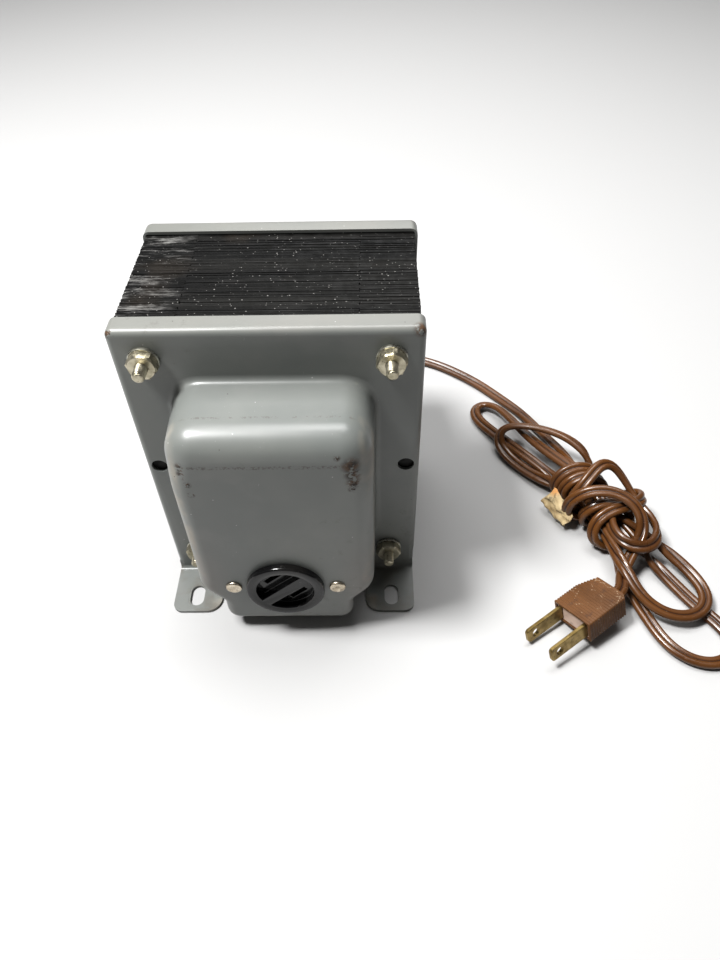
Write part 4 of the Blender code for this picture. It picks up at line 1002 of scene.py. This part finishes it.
def plug_section(x, inset, corner=0.7, steps=4):
    left, right = plug_sides(x, inset)
    half = PLUG_HEIGHT / 2 - inset
    corners = [(-left, -half, corner), (right, -half, corner), (right, half, corner), (-left, half, corner)]
    return [Vector((x, point.x, point.y)) for point, _ in rounded_outline(corners, steps)]


def make_plug(brown, pale, brass):
    spot = plug_matrix()
    pitch = 1.2
    depth = 0.3
    rings = [plug_section(0.0, 0.12), plug_section(-0.12, 0.0)]
    x = -0.5
    while x > -PLUG_LENGTH + 0.5:
        wave = 0.5 + 0.5 * math.cos(math.tau * x / pitch)
        rings.append(plug_section(x, depth * wave ** 2))
        x -= pitch / 6
    rings += [plug_section(-PLUG_LENGTH + 0.3, 0.0), plug_section(-PLUG_LENGTH, 0.35)]
    shell = loft("plug_cover", rings, brown)
    hollow_half = PLUG_WIDTH / 2 - PLUG_WALL
    high = PLUG_HEIGHT / 2 - PLUG_WALL
    outline = plug_plan(2.0, -INSERT_SETBACK - INSERT_LENGTH - 0.9, hollow_half)
    cut(shell, prism("hollow", outline, -high, high, plane="XY"))
    way = [(b + 2.6, a) for a, b in slot_outline(3.0, 5.4, (0.0, 0.0))]
    cut(shell, prism("cord_way", way, -PLUG_LENGTH - 2.0, -14.0, plane="YZ"))
    smooth(shell, 50)
    place(shell, spot)
    finish_piece(shell, UNIT, "brown_plug_plastic", "plug_shell")

    outline = plug_plan(-INSERT_SETBACK, -INSERT_SETBACK - INSERT_LENGTH, hollow_half - 0.2)
    insert = prism("plug_core", outline, -high + 0.2, high - 0.2, plane="XY", finish=pale)
    for side in (-1, 1):
        middle = side * BLADE_SPACING / 2
        room = rectangle(-9.3, -3.5, 2.0, 3.5)
        cut(insert, prism("seat", room, middle - 1.0, middle + 1.0))
    round_edges(insert, 0.25, segments=2, degrees=50)
    smooth(insert, 40)
    place(insert, spot)
    finish_piece(insert, SLIDER, "pale_insert_plastic", "plug_insert")

    for side, word in ((-1, "left"), (1, "right")):
        middle = side * BLADE_SPACING / 2
        wide = BLADE_WIDTH / 2
        corners = [
            (-9.0, -wide, 0.2),
            (BLADE_LENGTH, -wide, 1.5),
            (BLADE_LENGTH, wide, 1.5),
            (-9.0, wide, 0.2),
        ]
        outline = [(point.x, point.y) for point, _ in rounded_outline(corners, 6)]
        low = middle - BLADE_THICK / 2
        blade = prism(f"blade_{word}", outline, low, middle + BLADE_THICK / 2, finish=brass)
        hole = circle(1.6, 28, (BLADE_LENGTH - 4.2, 0.0))
        cut(blade, prism("hole", hole, middle - 3.0, middle + 3.0))
        round_edges(blade, 0.22, segments=2, degrees=50)
        smooth(blade, 40)
        place(blade, spot)
        finish_piece(blade, SLIDER, "dull_brass", f"plug_blade_{word}")


def plug_plan(front, back, half):
    """Plan of the insert or of the hollow that holds it."""
    narrow = PLUG_REAR_HALF - (PLUG_WIDTH / 2 - half)
    corners = [
        (front, -half, 0.1),
        (front, half, 0.1),
        (back + 1.5, half, 0.4),
        (back, half - 2.4, 0.4),
        (back, -narrow, 0.4),
        (-PLUG_TAPER_START, -half, 0.8),
    ]
    return [(point.x, point.y) for point, _ in rounded_outline(corners, 3)]


# ---------------------------------------------------------------- tape


TAPE_STAIN = bundle_point(75.0, -7.2, 11.6)


def make_tape(crepe):
    """Scrap of masking tape, crumpled against the left side of the knot."""
    across, down = 40, 36
    bm = bmesh.new()
    rows = []
    for i in range(down + 1):
        v = i / down
        top = 11.8 - 3.6 * v + 0.5 * math.sin(9 * v)
        bottom = 2.2 + 1.0 * math.sin(5 * v + 0.6)
        row = []
        for j in range(across + 1):
            u = j / across
            pleat = 0.55 * math.sin(13 * u + 2.4 * v) + 0.30 * math.sin(29 * u - 3.1 * v + 1.0)
            crease = 0.25 * math.sin(17 * v + 8 * u) + 0.12 * math.sin(31 * v - 11 * u)
            right = -7.6 - 3.7 * math.sin(1.9 * u) * (1 - 0.25 * v) + pleat + crease
            along = 73.6 + 15.2 * v + 0.9 * math.sin(5 * u + 0.4)
            row.append(bm.verts.new(bundle_point(along, right, top + (bottom - top) * u + 0.5 * pleat)))
        rows.append(row)
    for low, high in zip(rows, rows[1:]):
        for i in range(across):
            bm.faces.new((low[i], low[i + 1], high[i + 1], high[i]))
    tape = object_of("masking_tape_scrap", mesh_of("masking_tape_scrap", bm), crepe)
    thick = tape.modifiers.new("thickness", "SOLIDIFY")
    thick.thickness = 0.3 * MM
    smooth(tape, 180)
    finish_piece(tape, UNIT, "masking_tape", "tape_tag")


# ---------------------------------------------------------------- materials


class Finish:
    """One node material, with short calls for the nodes that it needs. Lengths here are in millimetres."""

    def __init__(self, name):
        self.material = bpy.data.materials.new(name)
        self.material.use_nodes = True
        self.tree = self.material.node_tree
        self.shader = self.tree.nodes["Principled BSDF"]
        self.place = self.node("ShaderNodeTexCoord").outputs["Object"]
        self.heights = []

    def put(self, socket, value):
        if isinstance(value, bpy.types.NodeSocket):
            self.tree.links.new(value, socket)
        else:
            socket.default_value = value

    def node(self, kind, inputs=None, **settings):
        made = self.tree.nodes.new(kind)
        for key, value in settings.items():
            setattr(made, key, value)
        for key, value in (inputs or {}).items():
            self.put(made.inputs[key], value)
        return made

    def math(self, operation, a, b=0.0, clamp=False):
        made = self.node("ShaderNodeMath", {0: a, 1: b}, operation=operation, use_clamp=clamp)
        return made.outputs[0]

    def ramp(self, value, low, high):
        """0 at low, 1 at high, smooth between; low may be the larger."""
        inputs = {"Value": value, "From Min": low, "From Max": high}
        made = self.node("ShaderNodeMapRange", inputs, interpolation_type="SMOOTHSTEP")
        return made.outputs["Result"]

    def scaled(self, stretch):
        made = self.node("ShaderNodeMapping", {"Vector": self.place, "Scale": stretch})
        return made.outputs["Vector"]

    def noise(self, size, detail=3.0, stretch=None, rough=0.55):
        """Noise whose blotches are about that many millimetres across."""
        vector = self.scaled(stretch) if stretch else self.place
        inputs = {"Vector": vector, "Scale": 500.0 / size, "Detail": detail, "Roughness": rough}
        return self.node("ShaderNodeTexNoise", inputs).outputs["Fac"]

    def patches(self, edges, *size, **settings):
        """The same noise as blotches: 0 under the first edge and 1 over the second."""
        return self.ramp(self.noise(*size, **settings), *edges)

    def specks(self, spacing, size, share):
        """Round dots of that size, in that share of the cells."""
        inputs = {"Vector": self.place, "Scale": 1000.0 / spacing}
        cells = self.node("ShaderNodeTexVoronoi", inputs)
        dot = self.ramp(cells.outputs["Distance"], size / spacing, 0.55 * size / spacing)
        chosen = self.math("LESS_THAN", cells.outputs["Color"], share)
        return self.math("MULTIPLY", dot, chosen)

    def scratches(self, spacing, width, share, turn):
        """Thin straight marks, all one way."""
        turned = self.node("ShaderNodeMapping", {"Vector": self.place, "Rotation": turn})
        squeezed = self.node("ShaderNodeMapping", {"Vector": turned.outputs[0], "Scale": (0.06, 1.0, 1.0)})
        inputs = {"Vector": squeezed.outputs[0], "Scale": 1000.0 / spacing}
        cells = self.node("ShaderNodeTexVoronoi", inputs)
        line = self.ramp(cells.outputs["Distance"], width / spacing, 0.3 * width / spacing)
        chosen = self.math("LESS_THAN", cells.outputs["Color"], share)
        return self.math("MULTIPLY", line, chosen)

    def axis(self, name):
        parts = self.node("ShaderNodeSeparateXYZ", {0: self.place})
        return self.math("MULTIPLY", parts.outputs[name], 1000.0)

    def near(self, spot, reach):
        """1 at a place, falling to 0 at that distance from it."""
        inputs = {0: self.place, 1: [value * MM for value in spot]}
        apart = self.node("ShaderNodeVectorMath", inputs, operation="DISTANCE").outputs["Value"]
        return self.ramp(apart, reach * MM, 0.25 * reach * MM)

    def band(self, value, low, high, soft):
        """1 between low and high, fading over soft outside them."""
        rising = self.ramp(value, low - soft, low)
        falling = self.ramp(value, high + soft, high)
        return self.math("MULTIPLY", rising, falling)

    def both(self, *values):
        found = values[0]
        for value in values[1:]:
            found = self.math("MULTIPLY", found, value)
        return found

    def either(self, *values):
        found = values[0]
        for value in values[1:]:
            found = self.math("MAXIMUM", found, value)
        return found

    def between(self, factor, low, high):
        """Number from low to high as the factor goes from 0 to 1."""
        inputs = {"Value": factor, "To Min": low, "To Max": high}
        return self.node("ShaderNodeMapRange", inputs).outputs["Result"]

    def colour(self, factor, first, second):
        made = self.node("ShaderNodeMix", data_type="RGBA")
        self.put(made.inputs[0], factor)
        for index, value in ((6, first), (7, second)):
            self.put(made.inputs[index], value if not isinstance(value, tuple) else (*value, 1.0))
        return made.outputs[2]

    def raised(self, height, rise):
        """Adds a bump; a height of 1 stands that many millimetres proud."""
        inputs = {"Height": height, "Distance": rise * MM, "Strength": 1.0}
        made = self.node("ShaderNodeBump", inputs)
        if self.heights:
            self.put(made.inputs["Normal"], self.heights[-1])
        self.heights.append(made.outputs["Normal"])

    def done(self, colour, roughness, metallic=0.0, **extra):
        for key, value in (("Base Color", colour), ("Roughness", roughness), ("Metallic", metallic)):
            self.put(self.shader.inputs[key], (*value, 1.0) if isinstance(value, tuple) else value)
        for key, value in extra.items():
            self.shader.inputs[key].default_value = value
        if self.heights:
            self.put(self.shader.inputs["Normal"], self.heights[-1])
        return self.material


def enamel(name, front):
    """Smooth grey enamel on sheet steel, with smudges, dusty edges, chips and a few rust marks."""
    made = Finish(name)
    smudge = made.noise(30.0, 4.0)
    cloud = made.noise(9.0, 3.0)
    fine = made.noise(1.3, 2.0)
    x, y, z = (made.axis(letter) for letter in "XYZ")
    base = made.colour(made.ramp(smudge, 0.35, 0.68), (0.150, 0.159, 0.151), (0.186, 0.193, 0.180))
    base = made.colour(made.both(made.ramp(cloud, 0.52, 0.74), 0.35), base, (0.21, 0.21, 0.198))
    dusty = made.both(made.band(made.math("ABSOLUTE", x), 29.5, 32.4, 2.2), made.ramp(cloud, 0.40, 0.66))
    dusty = made.both(dusty, made.band(made.math("ABSOLUTE", y), 50.0, 60.5, 4.0), 0.45)
    base = made.colour(dusty, base, (0.42, 0.36, 0.28))
    settled = made.both(made.ramp(z, BELL_TOP - 1.6, BELL_TOP - 0.2), made.between(cloud, 0.2, 0.9))
    base = made.colour(settled, base, (0.19, 0.186, 0.170))
    low = made.both(made.ramp(z, 14.0, 1.0), made.patches((0.42, 0.62), 5.0, 4.0), 0.55)
    base = made.colour(low, base, (0.13, 0.115, 0.095))
    grime = made.patches((0.56, 0.72), 3.2, 5.0, rough=0.7)
    grime = made.both(grime, made.ramp(smudge, 0.5, 0.62), 0.5)
    base = made.colour(grime, base, (0.10, 0.095, 0.085))
    base = made.colour(made.specks(4.4, 0.24, 0.5), base, (0.42, 0.42, 0.40))
    base = made.colour(made.specks(5.0, 0.26, 0.4), base, (0.05, 0.045, 0.04))
    nicks = made.scratches(2.2, 0.13, 0.8, (0.3, 1.2, 0.4))
    base = made.colour(made.both(nicks, 0.5), base, (0.40, 0.40, 0.38))
    ragged = made.noise(1.6, 4.0, rough=0.75)
    chips = []
    if front:
        marks = (
            ((25.8, -61.3, 91.5), 3.4, 0.42), ((26.2, -61.5, 88.0), 3.0, 0.45),
            ((26.4, -61.5, 84.5), 2.6, 0.48), ((26.0, -61.5, 81.5), 1.6, 0.50),
            ((17.1, -57.1, 102.3), 1.2, 0.44), ((21.6, -61.3, 95.0), 1.2, 0.44),
            ((-27.0, -61.5, 91.0), 2.2, 0.50), ((-27.2, -61.5, 88.0), 2.0, 0.50),
            ((-25.6, -61.5, 84.0), 1.4, 0.50), ((-25.2, -61.5, 79.5), 1.4, 0.50),
            ((-12.0, -61.2, 97.5), 1.0, 0.42), ((-32.1, -38.8, 101.0), 2.4, 0.46),
            ((47.6, -32.4, 120.9), 2.8, 0.46), ((-47.6, -32.3, 120.9), 1.6, 0.50),
        )
        for spot, reach, cutoff in marks:
            edge = made.ramp(ragged, cutoff - 0.03, cutoff + 0.04)
            chips.append(made.both(made.near(spot, reach * 1.25), edge))
        speckled = made.noise(0.55, 3.0, rough=0.7)
        wander = made.math("ADD", z, made.between(smudge, -1.4, 1.4))
        line = made.both(made.band(wander, 91.2, 91.9, 0.6), made.band(x, -27.0, 26.0, 3.0))
        line = made.both(line, made.ramp(speckled, 0.45, 0.62), made.ramp(y, -50.0, -56.0))
        drift = made.math("ADD", y, made.between(smudge, -0.9, 0.9))
        scuff = made.both(made.band(drift, -50.2, -49.8, 0.4), made.band(x, -26.0, 26.0, 3.0))
        scuff = made.both(scuff, made.ramp(z, 100.0, 101.5), made.ramp(speckled, 0.50, 0.60), 0.6)
        base = made.colour(made.both(line, 0.7), base, (0.055, 0.042, 0.032))
        base = made.colour(scuff, base, (0.085, 0.075, 0.065))
        pink = made.both(made.ramp(made.math("ABSOLUTE", x), 16.0, 30.0), made.ramp(y, -58.0, -61.0))
        pink = made.both(pink, made.ramp(z, 70.0, 25.0), 0.35)
        base = made.colour(pink, base, (0.18, 0.14, 0.122))
    face = -PLATE_FACE if front else PLATE_FACE
    for corner_x in (-47.8, 47.8):
        chips.append(made.both(made.near((corner_x, face, 121.0), 3.0), made.ramp(ragged, 0.5, 0.56)))
    chip = made.either(*chips)
    fresh_rust, old_rust = (0.085, 0.045, 0.022), (0.022, 0.012, 0.007)
    rust = made.colour(made.patches((0.4, 0.6), 1.0, 3.0), old_rust, fresh_rust)
    base = made.colour(chip, base, rust)
    shine = made.between(made.ramp(smudge, 0.3, 0.7), 0.30, 0.43)
    shine = made.math("ADD", shine, made.both(made.either(dusty, grime, chip), 0.35))
    made.raised(made.noise(2.6, 2.0), 0.012)
    made.raised(fine, 0.006)
    made.raised(made.math("SUBTRACT", 1.0, chip), 0.05)
    return made.done(base, shine, 0.0, **{"Coat Weight": 0.10, "Coat Roughness": 0.22})


def varnished_steel():
    """Sheet edges under black varnish, chalky at the left, with pale flecks."""
    made = Finish("varnished_laminations")
    x = made.axis("X")
    sheet_tone = made.noise(2.4, 2.0, stretch=(0.02, 1.0, 0.02))
    base = made.colour(made.ramp(sheet_tone, 0.35, 0.7), (0.0016, 0.0016, 0.0016), (0.0075, 0.0072, 0.0064))
    chalk = made.noise(4.0, 6.0, stretch=(0.35, 1.6, 0.35), rough=0.75)
    left = made.ramp(x, -26.0, -38.0)
    scuff = made.both(made.ramp(chalk, 0.50, 0.66), made.between(left, 0.03, 0.75))
    base = made.colour(scuff, base, (0.25, 0.245, 0.235))
    zones = made.between(made.patches((0.38, 0.6), 16.0, 2.0), 0.25, 0.8)
    flecks = made.either(made.specks(1.5, 0.20, 0.8), made.specks(2.6, 0.30, 0.7))
    base = made.colour(made.both(flecks, zones), base, (0.36, 0.35, 0.33))
    brown = made.both(made.patches((0.56, 0.7), 14.0, 3.0), 0.4)
    base = made.colour(brown, base, (0.026, 0.020, 0.015))
    shine = made.between(made.patches((0.3, 0.7), 1.8, 4.0), 0.38, 0.72)
    made.raised(made.noise(0.9, 4.0), 0.05)
    made.raised(made.noise(5.0, 3.0, stretch=(0.1, 1.0, 0.1)), 0.08)
    return made.done(base, shine, 0.0, **{"Specular IOR Level": 0.18})


def plated(name, light, dark, roughness, spot_colour, turn=(0.0, 0.0, 0.4)):
    """Plated or bare metal with tarnish, spots and fine tool marks."""
    made = Finish(name)
    cloud = made.noise(2.2, 4.0)
    base = made.colour(made.ramp(cloud, 0.36, 0.66), light, dark)
    spots = made.both(made.patches((0.58, 0.66), 0.7, 4.0, rough=0.7), 0.7)
    base = made.colour(spots, base, spot_colour)
    scores = made.scratches(0.5, 0.10, 0.5, turn)
    shine = made.between(made.patches((0.3, 0.7), 1.1, 3.0), roughness, roughness + 0.2)
    shine = made.math("ADD", shine, made.both(scores, 0.12))
    metal = made.between(spots, 1.0, 0.55)
    made.raised(made.noise(0.35, 3.0), 0.012)
    made.raised(made.math("SUBTRACT", 1.0, scores), 0.008)
    return made.done(base, shine, metal)


def bakelite():
    made = Finish("black_bakelite")
    swirl = made.noise(6.0, 3.0)
    base = made.colour(made.ramp(swirl, 0.4, 0.7), (0.0045, 0.0045, 0.005), (0.013, 0.012, 0.011))
    film = made.both(made.patches((0.62, 0.75), 1.2, 5.0), 0.25)
    dust = made.either(made.specks(1.6, 0.13, 0.3), film)
    base = made.colour(made.both(dust, 0.6), base, (0.30, 0.29, 0.27))
    scores = made.scratches(1.4, 0.06, 0.4, (0.0, 0.7, 0.2))
    shine = made.between(made.ramp(swirl, 0.3, 0.7), 0.10, 0.24)
    shine = made.math("ADD", shine, made.both(made.either(dust, scores), 0.3))
    made.raised(made.noise(1.5, 2.0), 0.01)
    return made.done(base, shine, 0.0)


def moulded(name, light, dark, roughness, grain=0.8, rise=0.02, pale=0.0):
    """Moulded plastic: slow colour drift, grain and light scratches."""
    made = Finish(name)
    base = made.colour(made.patches((0.35, 0.68), 6.0, 4.0), light, dark)
    scores = made.either(
        made.scratches(3.2, 0.12, 0.28, (0.0, 0.0, 0.5)), made.scratches(4.1, 0.10, 0.22, (0.2, 0.0, -0.7))
    )
    pale_colour = tuple(min(1.0, 2.2 * value + 0.12) for value in light)
    base = made.colour(made.both(scores, pale), base, pale_colour)
    grime = made.both(made.patches((0.57, 0.7), 2.2, 5.0), 0.4)
    base = made.colour(grime, base, tuple(0.45 * value for value in dark))
    shine = made.between(made.patches((0.3, 0.7), 2.0, 3.0), roughness, roughness + 0.16)
    made.raised(made.noise(grain, 3.0), rise)
    made.raised(made.math("SUBTRACT", 1.0, scores), 0.02)
    return made.done(base, shine, 0.0)


def cord_vinyl(name="brown_cord_vinyl"):
    """Glossy brown vinyl, with shade painted into the groove between its two wires."""
    made = Finish(name)
    light, dark = (0.108, 0.043, 0.0115), (0.068, 0.0255, 0.0065)
    base = made.colour(made.patches((0.35, 0.68), 11.0, 3.0), light, dark)
    # Painted shade: the groove attribute darkens the colour in the crease between the two wires, where
    # shade falls.
    groove = made.node("ShaderNodeAttribute", attribute_name="groove").outputs["Fac"]
    base = made.colour(made.both(groove, 0.9), base, (0.020, 0.007, 0.004))
    scuff = made.both(made.patches((0.60, 0.74), 1.4, 5.0, rough=0.7), 0.35)
    base = made.colour(scuff, base, (0.19, 0.095, 0.05))
    base = made.colour(made.specks(4.0, 0.22, 0.22), base, (0.42, 0.34, 0.26))
    shine = made.between(made.patches((0.3, 0.7), 5.0, 4.0), 0.20, 0.36)
    shine = made.math("ADD", shine, made.both(scuff, 0.5))
    made.raised(made.noise(1.2, 3.0), 0.018)
    return made.done(base, shine, 0.0, **{"Specular IOR Level": 0.5})


def ribbed_plastic():
    """Brown plug plastic, with pale scratches across the ribs."""
    made = Finish("brown_plug_plastic")
    light, dark = (0.128, 0.058, 0.022), (0.094, 0.041, 0.0145)
    base = made.colour(made.patches((0.35, 0.66), 7.0, 4.0), light, dark)
    scores = made.either(
        made.scratches(1.3, 0.27, 0.6, (0.0, 0.0, 0.3)),
        made.scratches(1.2, 0.24, 0.5, (0.0, 0.0, -1.0)),
        made.scratches(1.1, 0.21, 0.5, (0.0, 0.0, 1.2)),
    )
    base = made.colour(made.both(scores, 0.75), base, (0.36, 0.27, 0.18))
    dirt = made.both(made.patches((0.56, 0.68), 1.8, 5.0), 0.5)
    base = made.colour(dirt, base, (0.055, 0.028, 0.018))
    shine = made.between(made.patches((0.3, 0.7), 1.5, 3.0), 0.42, 0.6)
    made.raised(made.noise(0.6, 3.0), 0.02)
    made.raised(made.math("SUBTRACT", 1.0, scores), 0.03)
    return made.done(base, shine, 0.0, **{"Specular IOR Level": 0.22})


def masking_tape():
    made = Finish("masking_tape")
    crepe = made.noise(0.7, 3.0)
    base = made.colour(made.patches((0.38, 0.62), 4.0, 4.0), (0.56, 0.44, 0.25), (0.36, 0.25, 0.12))
    stain = made.near(TAPE_STAIN, 4.2)
    base = made.colour(made.both(stain, 0.75), base, (0.52, 0.22, 0.05))
    dirt = made.both(made.patches((0.56, 0.66), 1.2, 5.0), 0.6)
    base = made.colour(dirt, base, (0.09, 0.07, 0.045))
    made.raised(crepe, 0.10)
    return made.done(base, made.between(crepe, 0.5, 0.75), 0.0)


def paper(name, light, dark, layers=0.0):
    """Fibrous paper or board, with the faint steps of its turns."""
    made = Finish(name)
    fibre = made.noise(0.9, 5.0, stretch=(0.3, 1.0, 1.0), rough=0.7)
    base = made.colour(made.ramp(fibre, 0.35, 0.65), light, dark)
    oil = made.both(made.patches((0.52, 0.64), 12.0, 3.0), 0.45)
    base = made.colour(oil, base, tuple(0.5 * value for value in dark))
    made.raised(fibre, 0.05)
    if layers:
        inputs = {"Vector": made.place, "Scale": 160.0 / layers, "Distortion": 0.8}
        wave = made.node("ShaderNodeTexWave", inputs)
        made.raised(wave.outputs["Fac"], 0.06)
    return made.done(base, made.between(fibre, 0.68, 0.86), 0.0)


def enamelled_copper():
    """Close turns of enamelled wire, seen as ridges that run round the leg, with shade painted into the
    valleys between them.
    """
    made = Finish("enamelled_copper")
    inputs = {"Vector": made.place, "Scale": 160.0 / 0.95, "Distortion": 0.25, "Detail": 1.0}
    turns = made.node("ShaderNodeTexWave", inputs, wave_profile="SIN").outputs["Fac"]
    # Painted shade: the colour follows the same wave as the ridges and darkens in the valleys between
    # turns.
    base = made.colour(made.ramp(turns, 0.15, 0.6), (0.10, 0.03, 0.01), (0.52, 0.19, 0.055))
    varnish = made.both(made.patches((0.5, 0.66), 6.0, 4.0), 0.5)
    base = made.colour(varnish, base, (0.16, 0.06, 0.02))
    made.raised(turns, 0.35)
    made.raised(made.noise(0.5, 3.0), 0.02)
    return made.done(base, made.between(made.noise(2.0, 3.0), 0.22, 0.42), 0.85)


# ---------------------------------------------------------------- build


def dress(finish, *nodes):
    """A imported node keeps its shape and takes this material."""
    for node in nodes:
        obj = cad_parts[node]
        obj.data.materials.clear()
        obj.data.materials.append(finish)


def dress_inner_nodes():
    copper = enamelled_copper()
    kraft = paper("kraft_paper", (0.50, 0.36, 0.20), (0.36, 0.24, 0.12), layers=3.0)
    dress(copper, "common_winding", "series_winding")
    dress(kraft, "layer_insulation", "coil_wrap")
    dress(paper("form_board", (0.33, 0.22, 0.12), (0.22, 0.14, 0.07)), "coil_form")
    dress(paper("grey_fibre", (0.14, 0.14, 0.13), (0.09, 0.09, 0.085)), "receptacle_back")
    strap = plated("strap_steel", (0.50, 0.50, 0.48), (0.33, 0.32, 0.30), 0.3, (0.20, 0.11, 0.05))
    dress(strap, "receptacle_strap")
    contact = plated("contact_brass", (0.55, 0.43, 0.21), (0.40, 0.30, 0.13), 0.25, (0.15, 0.11, 0.05))
    dress(contact, "receptacle_contact_lower", "receptacle_contact_upper")
    caps = moulded("splice_cap_plastic", (0.16, 0.03, 0.02), (0.10, 0.018, 0.014), 0.35)
    dress(caps, "splice_cap_common", "splice_cap_line")
    white = moulded("white_lead_insulation", (0.58, 0.55, 0.46), (0.45, 0.41, 0.32), 0.4, rise=0.01)
    dress(white, "output_lead_common", "input_lead_common")
    red = moulded("red_lead_insulation", (0.40, 0.030, 0.020), (0.26, 0.018, 0.014), 0.4, rise=0.01)
    dress(red, "output_lead_tap")
    black = moulded("black_lead_insulation", (0.022, 0.021, 0.020), (0.012, 0.012, 0.012), 0.4, rise=0.01)
    dress(black, "input_lead_line")
    dress(cord_vinyl("cord_conductor_vinyl"), "cord_conductor_common", "cord_conductor_line")


def main():
    make_camera()
    make_stage()
    vinyl = cord_vinyl()
    cord, line, tangent, flat = make_cord(vinyl)
    nylon = moulded("black_nylon", (0.020, 0.020, 0.021), (0.010, 0.010, 0.011), 0.38)
    make_bushing(nylon, line, tangent, flat)
    make_bells(enamel("front_enamel", True), enamel("rear_enamel", False))
    make_core(varnished_steel())
    zinc = plated("zinc_plate", (0.55, 0.51, 0.40), (0.36, 0.33, 0.24), 0.30, (0.10, 0.075, 0.045))
    bright = plated("bright_washer", (0.58, 0.57, 0.50), (0.42, 0.41, 0.35), 0.24, (0.15, 0.12, 0.09))
    make_fasteners(zinc, bright)
    nickel = plated("nickel_rivet", (0.66, 0.59, 0.48), (0.45, 0.39, 0.30), 0.22, (0.14, 0.10, 0.07))
    make_receptacle(bakelite(), nickel)
    pale = moulded("pale_insert_plastic", (0.58, 0.44, 0.36), (0.46, 0.33, 0.26), 0.45)
    brass = plated("dull_brass", (0.32, 0.235, 0.095), (0.18, 0.125, 0.045), 0.30, (0.07, 0.05, 0.025))
    make_plug(ribbed_plastic(), pale, brass)
    make_tape(masking_tape())
    dress_inner_nodes()

    path = [tuple(point * MM) for point in line]
    length = float(np.linalg.norm(np.diff(line, axis=0), axis=1).sum()) * MM
    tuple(path[0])


main()
